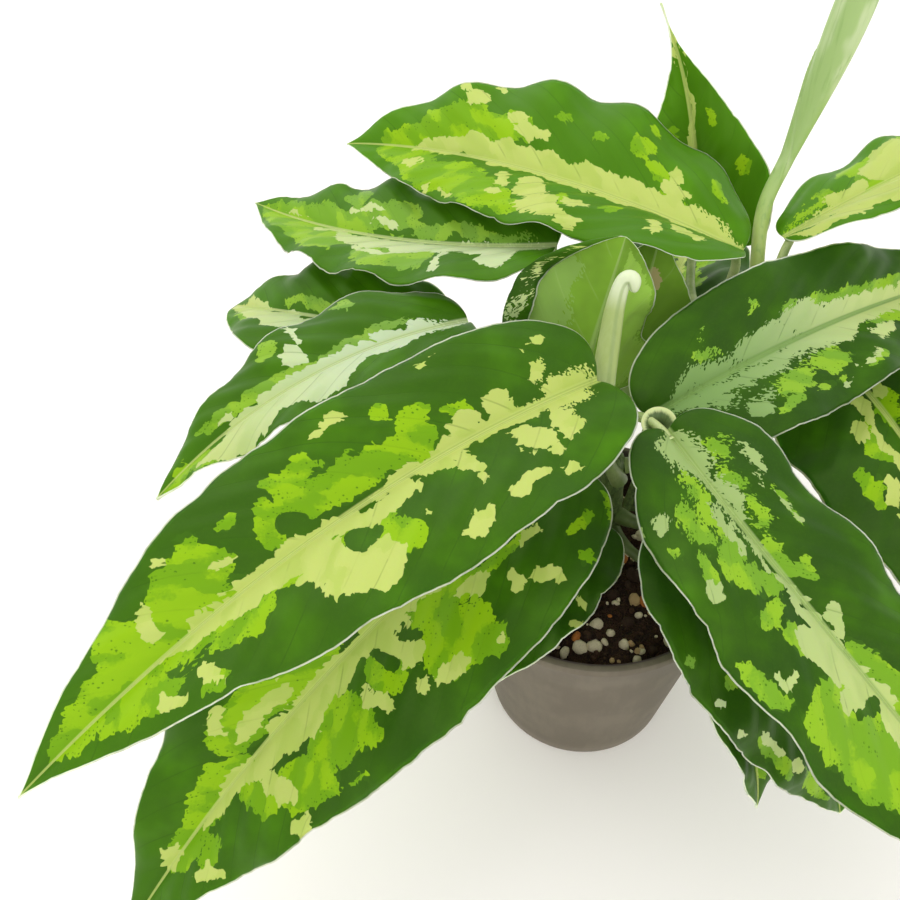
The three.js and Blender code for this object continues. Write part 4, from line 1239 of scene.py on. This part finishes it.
def diced(net, low, high, seed):
    kind = "FLOAT_VECTOR" if isinstance(low, tuple) else "FLOAT"
    node = net.add("FunctionNodeRandomValue", {"data_type": kind}, {"Min": low, "Max": high, "Seed": seed})
    return net.get(node, "Value")


def buildGritTree(stone):  # stones lie on the soil's top, away from its rim, where the sides start
    tree, net, given = newTree("gritScatter", gritSizes)
    normal = net.get(net.add("GeometryNodeInputNormal"))
    _, _, upward = net.parts(normal)
    across, deep, height = net.parts(net.get(net.add("GeometryNodeInputPosition")))
    isInside = net.maths("SQRT", across * across + deep * deep) < given["Reach"]  # clear of the pot's wall
    level = (upward > 0.5) * (height > given["Level"]) * isInside
    inputs = {"Mesh": given["Geometry"], "Selection": level, "Density": given["Density"], "Seed": given["Seed"]}
    scatter = net.add("GeometryNodeDistributePointsOnFaces", {"distribute_method": "RANDOM"}, inputs)
    chance = diced(net, 0.0, 1.0, given["Seed"])
    size = given["Smallest"] + (given["Largest"] - given["Smallest"]) * chance ** 2.2
    turn = diced(net, (0.0, 0.0, 0.0), (6.28, 6.28, 6.28), 11)
    flatten = diced(net, (0.75, 0.75, 0.55), (1.2, 1.1, 0.95), 23)
    pebble = net.get(net.add("GeometryNodeObjectInfo", None, {"Object": stone}), "Geometry")
    inputs = {"Points": net.get(scatter, "Points"), "Instance": pebble, "Rotation": turn, "Scale": flatten * size}
    stones = net.get(net.add("GeometryNodeInstanceOnPoints", None, inputs))
    stones = keep(net, stones, "stoneTint", diced(net, 0.0, 1.0, 31), "FLOAT", "INSTANCE")
    endTree(net, stones, given)
    return tree


def makeStone():  # one rough pebble, about 1 mm in radius
    body = bmesh.new()
    bmesh.ops.create_icosphere(body, subdivisions=2, radius=1 * mm)
    dice = random.Random(4)
    for vertex in body.verts:
        vertex.co *= dice.uniform(0.88, 1.12)
    return addObject("pebble", meshOf(body, "pebble"))


soilColors = {"peat": color(40, 27, 20), "brown": color(66, 44, 30), "light": color(104, 74, 50),
              "cream": color(232, 218, 186), "tan": color(196, 164, 118), "orange": color(196, 120, 60),
              "dark": color(52, 36, 26)}


def buildSoilMaterial():
    made, net, shader = newMaterial("pottingSoil", **{"Specular IOR Level": 0.25})
    place = millimetres(net)
    clump = net.noise(place, 0.45, 4.0, 0.65)
    crumb = net.cells(place, 1.3, "Distance")
    fibre = net.noise(place * (1.0, 0.3, 1.0), 2.2, 2.0, 0.6)
    look = net.mix(net.step(clump, 0.35, 0.68), soilColors["peat"], soilColors["brown"])
    look = net.mix(net.step(fibre, 0.62, 0.72) * 0.5, look, soilColors["light"])
    return dress(made, net, shader, look, 0.82 + clump * 0.15, bumpOf(net, clump * 1.5 - crumb, 0.8 * mm, 0.9))


def buildGritMaterial():
    made, net, shader = newMaterial("soilGrit", **{"Specular IOR Level": 0.3})
    tint = attribute(net, "stoneTint", "Fac")
    place = millimetres(net)
    grain = net.noise(place, 3.0, 3.0, 0.65)
    kinds = ((0.0, "dark"), (0.34, "brown"), (0.42, "tan"), (0.58, "cream"), (0.9, "cream"), (0.94, "orange"))
    ramp = net.add("ShaderNodeValToRGB", {"stops": [(at, soilColors[kind]) for at, kind in kinds]}, {0: tint})
    ramp.color_ramp.interpolation = "CONSTANT"
    look = net.mix(net.step(grain, 0.4, 0.7) * 0.22, net.get(ramp), soilColors["light"])
    return dress(made, net, shader, look, 0.75 + grain * 0.2, bumpOf(net, grain, 0.2 * mm, 0.7))


soil = makeSoil(buildSoilMaterial())
stone = makeStone()
grit = runTree(buildGritTree(stone), soil.data.copy(), "soil_grit", gritSizes, buildGritMaterial())
print("soil made, with", len(grit.data.polygons) // len(stone.data.polygons), "stones")
bpy.data.objects.remove(stone)


# Pieces join the frame

leafNodes = ["leaf_" + name for name in leaves]
for name, blade in blades.items():
    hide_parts("leaf_" + name)
    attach(blade, "root")
for piece, nodes, slotName in (
    (stalks, leafNodes, "leaf"), (clasp, ["leaf_front_right"], "leaf"),
    (caneObject, ["cane_front", "cane_right", "cane_left"], "cane"),
    (newLeaf, ["new_leaf_rolled"], "new_leaf"), (bud, ["flower_bud"], "bud"), (pot, ["pot"], "pot"),
    (soil, ["soil"], "soil"), (grit, ["soil"], "soil"),
):
    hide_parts(*nodes)
    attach(piece, "root")
print("pieces placed")


# Floor, light and camera

# glow is painted light: a faint emission of the floor that lifts the shade near the pot
stageLook = {"floorSize": 6.0, "sky": color(252, 253, 252), "skyStrength": 1.0, "floor": color(248, 242, 240),
             "cloud": color(232, 231, 226), "glow": 0.12}
lamps = {  # place, what it points at, size, power, tint
    "windowLight": ((-0.6, 0.8, 1.8), (0, 0, 0.08), 2.4, 14, (1, 1, 0.97)),
    "fillLight": ((0.3, -1.2, 1.0), (0, 0, 0.04), 1.8, 6, (1, 1, 1)),
}
cameraLook = {"place": (-0.04337, -0.18821, 0.32464), "pitch": 46.74, "roll": -2.638, "focal": 984.16, "frame": 900}


def buildFloor():
    size = stageLook["floorSize"]
    mesh = bpy.data.meshes.new("table")
    mesh.from_pydata([(-size, -size, 0), (size, -size, 0), (size, size, 0), (-size, size, 0)], [], [(0, 1, 2, 3)])
    floor = addObject("table", mesh)
    made, net, shader = newMaterial("paleTable", **{"Roughness": 0.6, "Specular IOR Level": 0.2})
    place = net.get(net.add("ShaderNodeTexCoord"), "Object")
    cloud = net.noise(place, 3.0, 3.0, 0.5)
    shade = net.mix(net.step(cloud, 0.3, 0.8) * 0.3, stageLook["floor"], stageLook["cloud"])
    net.feed(shader.inputs["Base Color"], shade)
    # painted light: the floor glows faintly, lifting the shade the plant casts near the pot and lighting the pot
    # and leaf undersides
    shader.inputs["Emission Color"].default_value = (*stageLook["floor"], 1)
    shader.inputs["Emission Strength"].default_value = stageLook["glow"]
    mesh.materials.append(made)
    return floor


def addLamp(name, place, target, size, power, tint):
    data = bpy.data.lights.new(name, "AREA")
    data.shape, data.size, data.energy, data.color = "DISK", size, power, tint
    lamp = addObject(name, data)
    lamp.location = place
    lamp.rotation_euler = (Vector(target) - Vector(place)).to_track_quat("-Z", "Y").to_euler()


def addCamera():
    look = cameraLook
    pitch, roll = math.radians(look["pitch"]), math.radians(look["roll"])
    forward = Vector((0, math.cos(pitch), -math.sin(pitch)))
    right, upward = Vector((1, 0, 0)), Vector((0, math.sin(pitch), math.cos(pitch)))
    turnedRight = right * math.cos(roll) + upward * math.sin(roll)
    turnedUp = upward * math.cos(roll) - right * math.sin(roll)
    data = bpy.data.cameras.new("photoView")
    data.sensor_width = 36
    data.lens = look["focal"] * 36 / look["frame"]
    data.clip_start = 0.01
    camera = addObject("photoView", data)
    axes = Matrix((turnedRight, turnedUp, -forward)).transposed().to_4x4()
    camera.matrix_world = Matrix.Translation(look["place"]) @ axes
    bpy.context.scene.camera = camera


floor = buildFloor()
world = bpy.data.worlds.new("softRoom")
world.use_nodes = True
bpy.context.scene.world = world
backdrop = world.node_tree.nodes["Background"]
backdrop.inputs["Color"].default_value = (*stageLook["sky"], 1)
backdrop.inputs["Strength"].default_value = stageLook["skyStrength"]
for name, lamp in lamps.items():
    addLamp(name, *lamp)
addCamera()
bpy.context.scene.view_settings.view_transform = "Standard"
print("stage set")
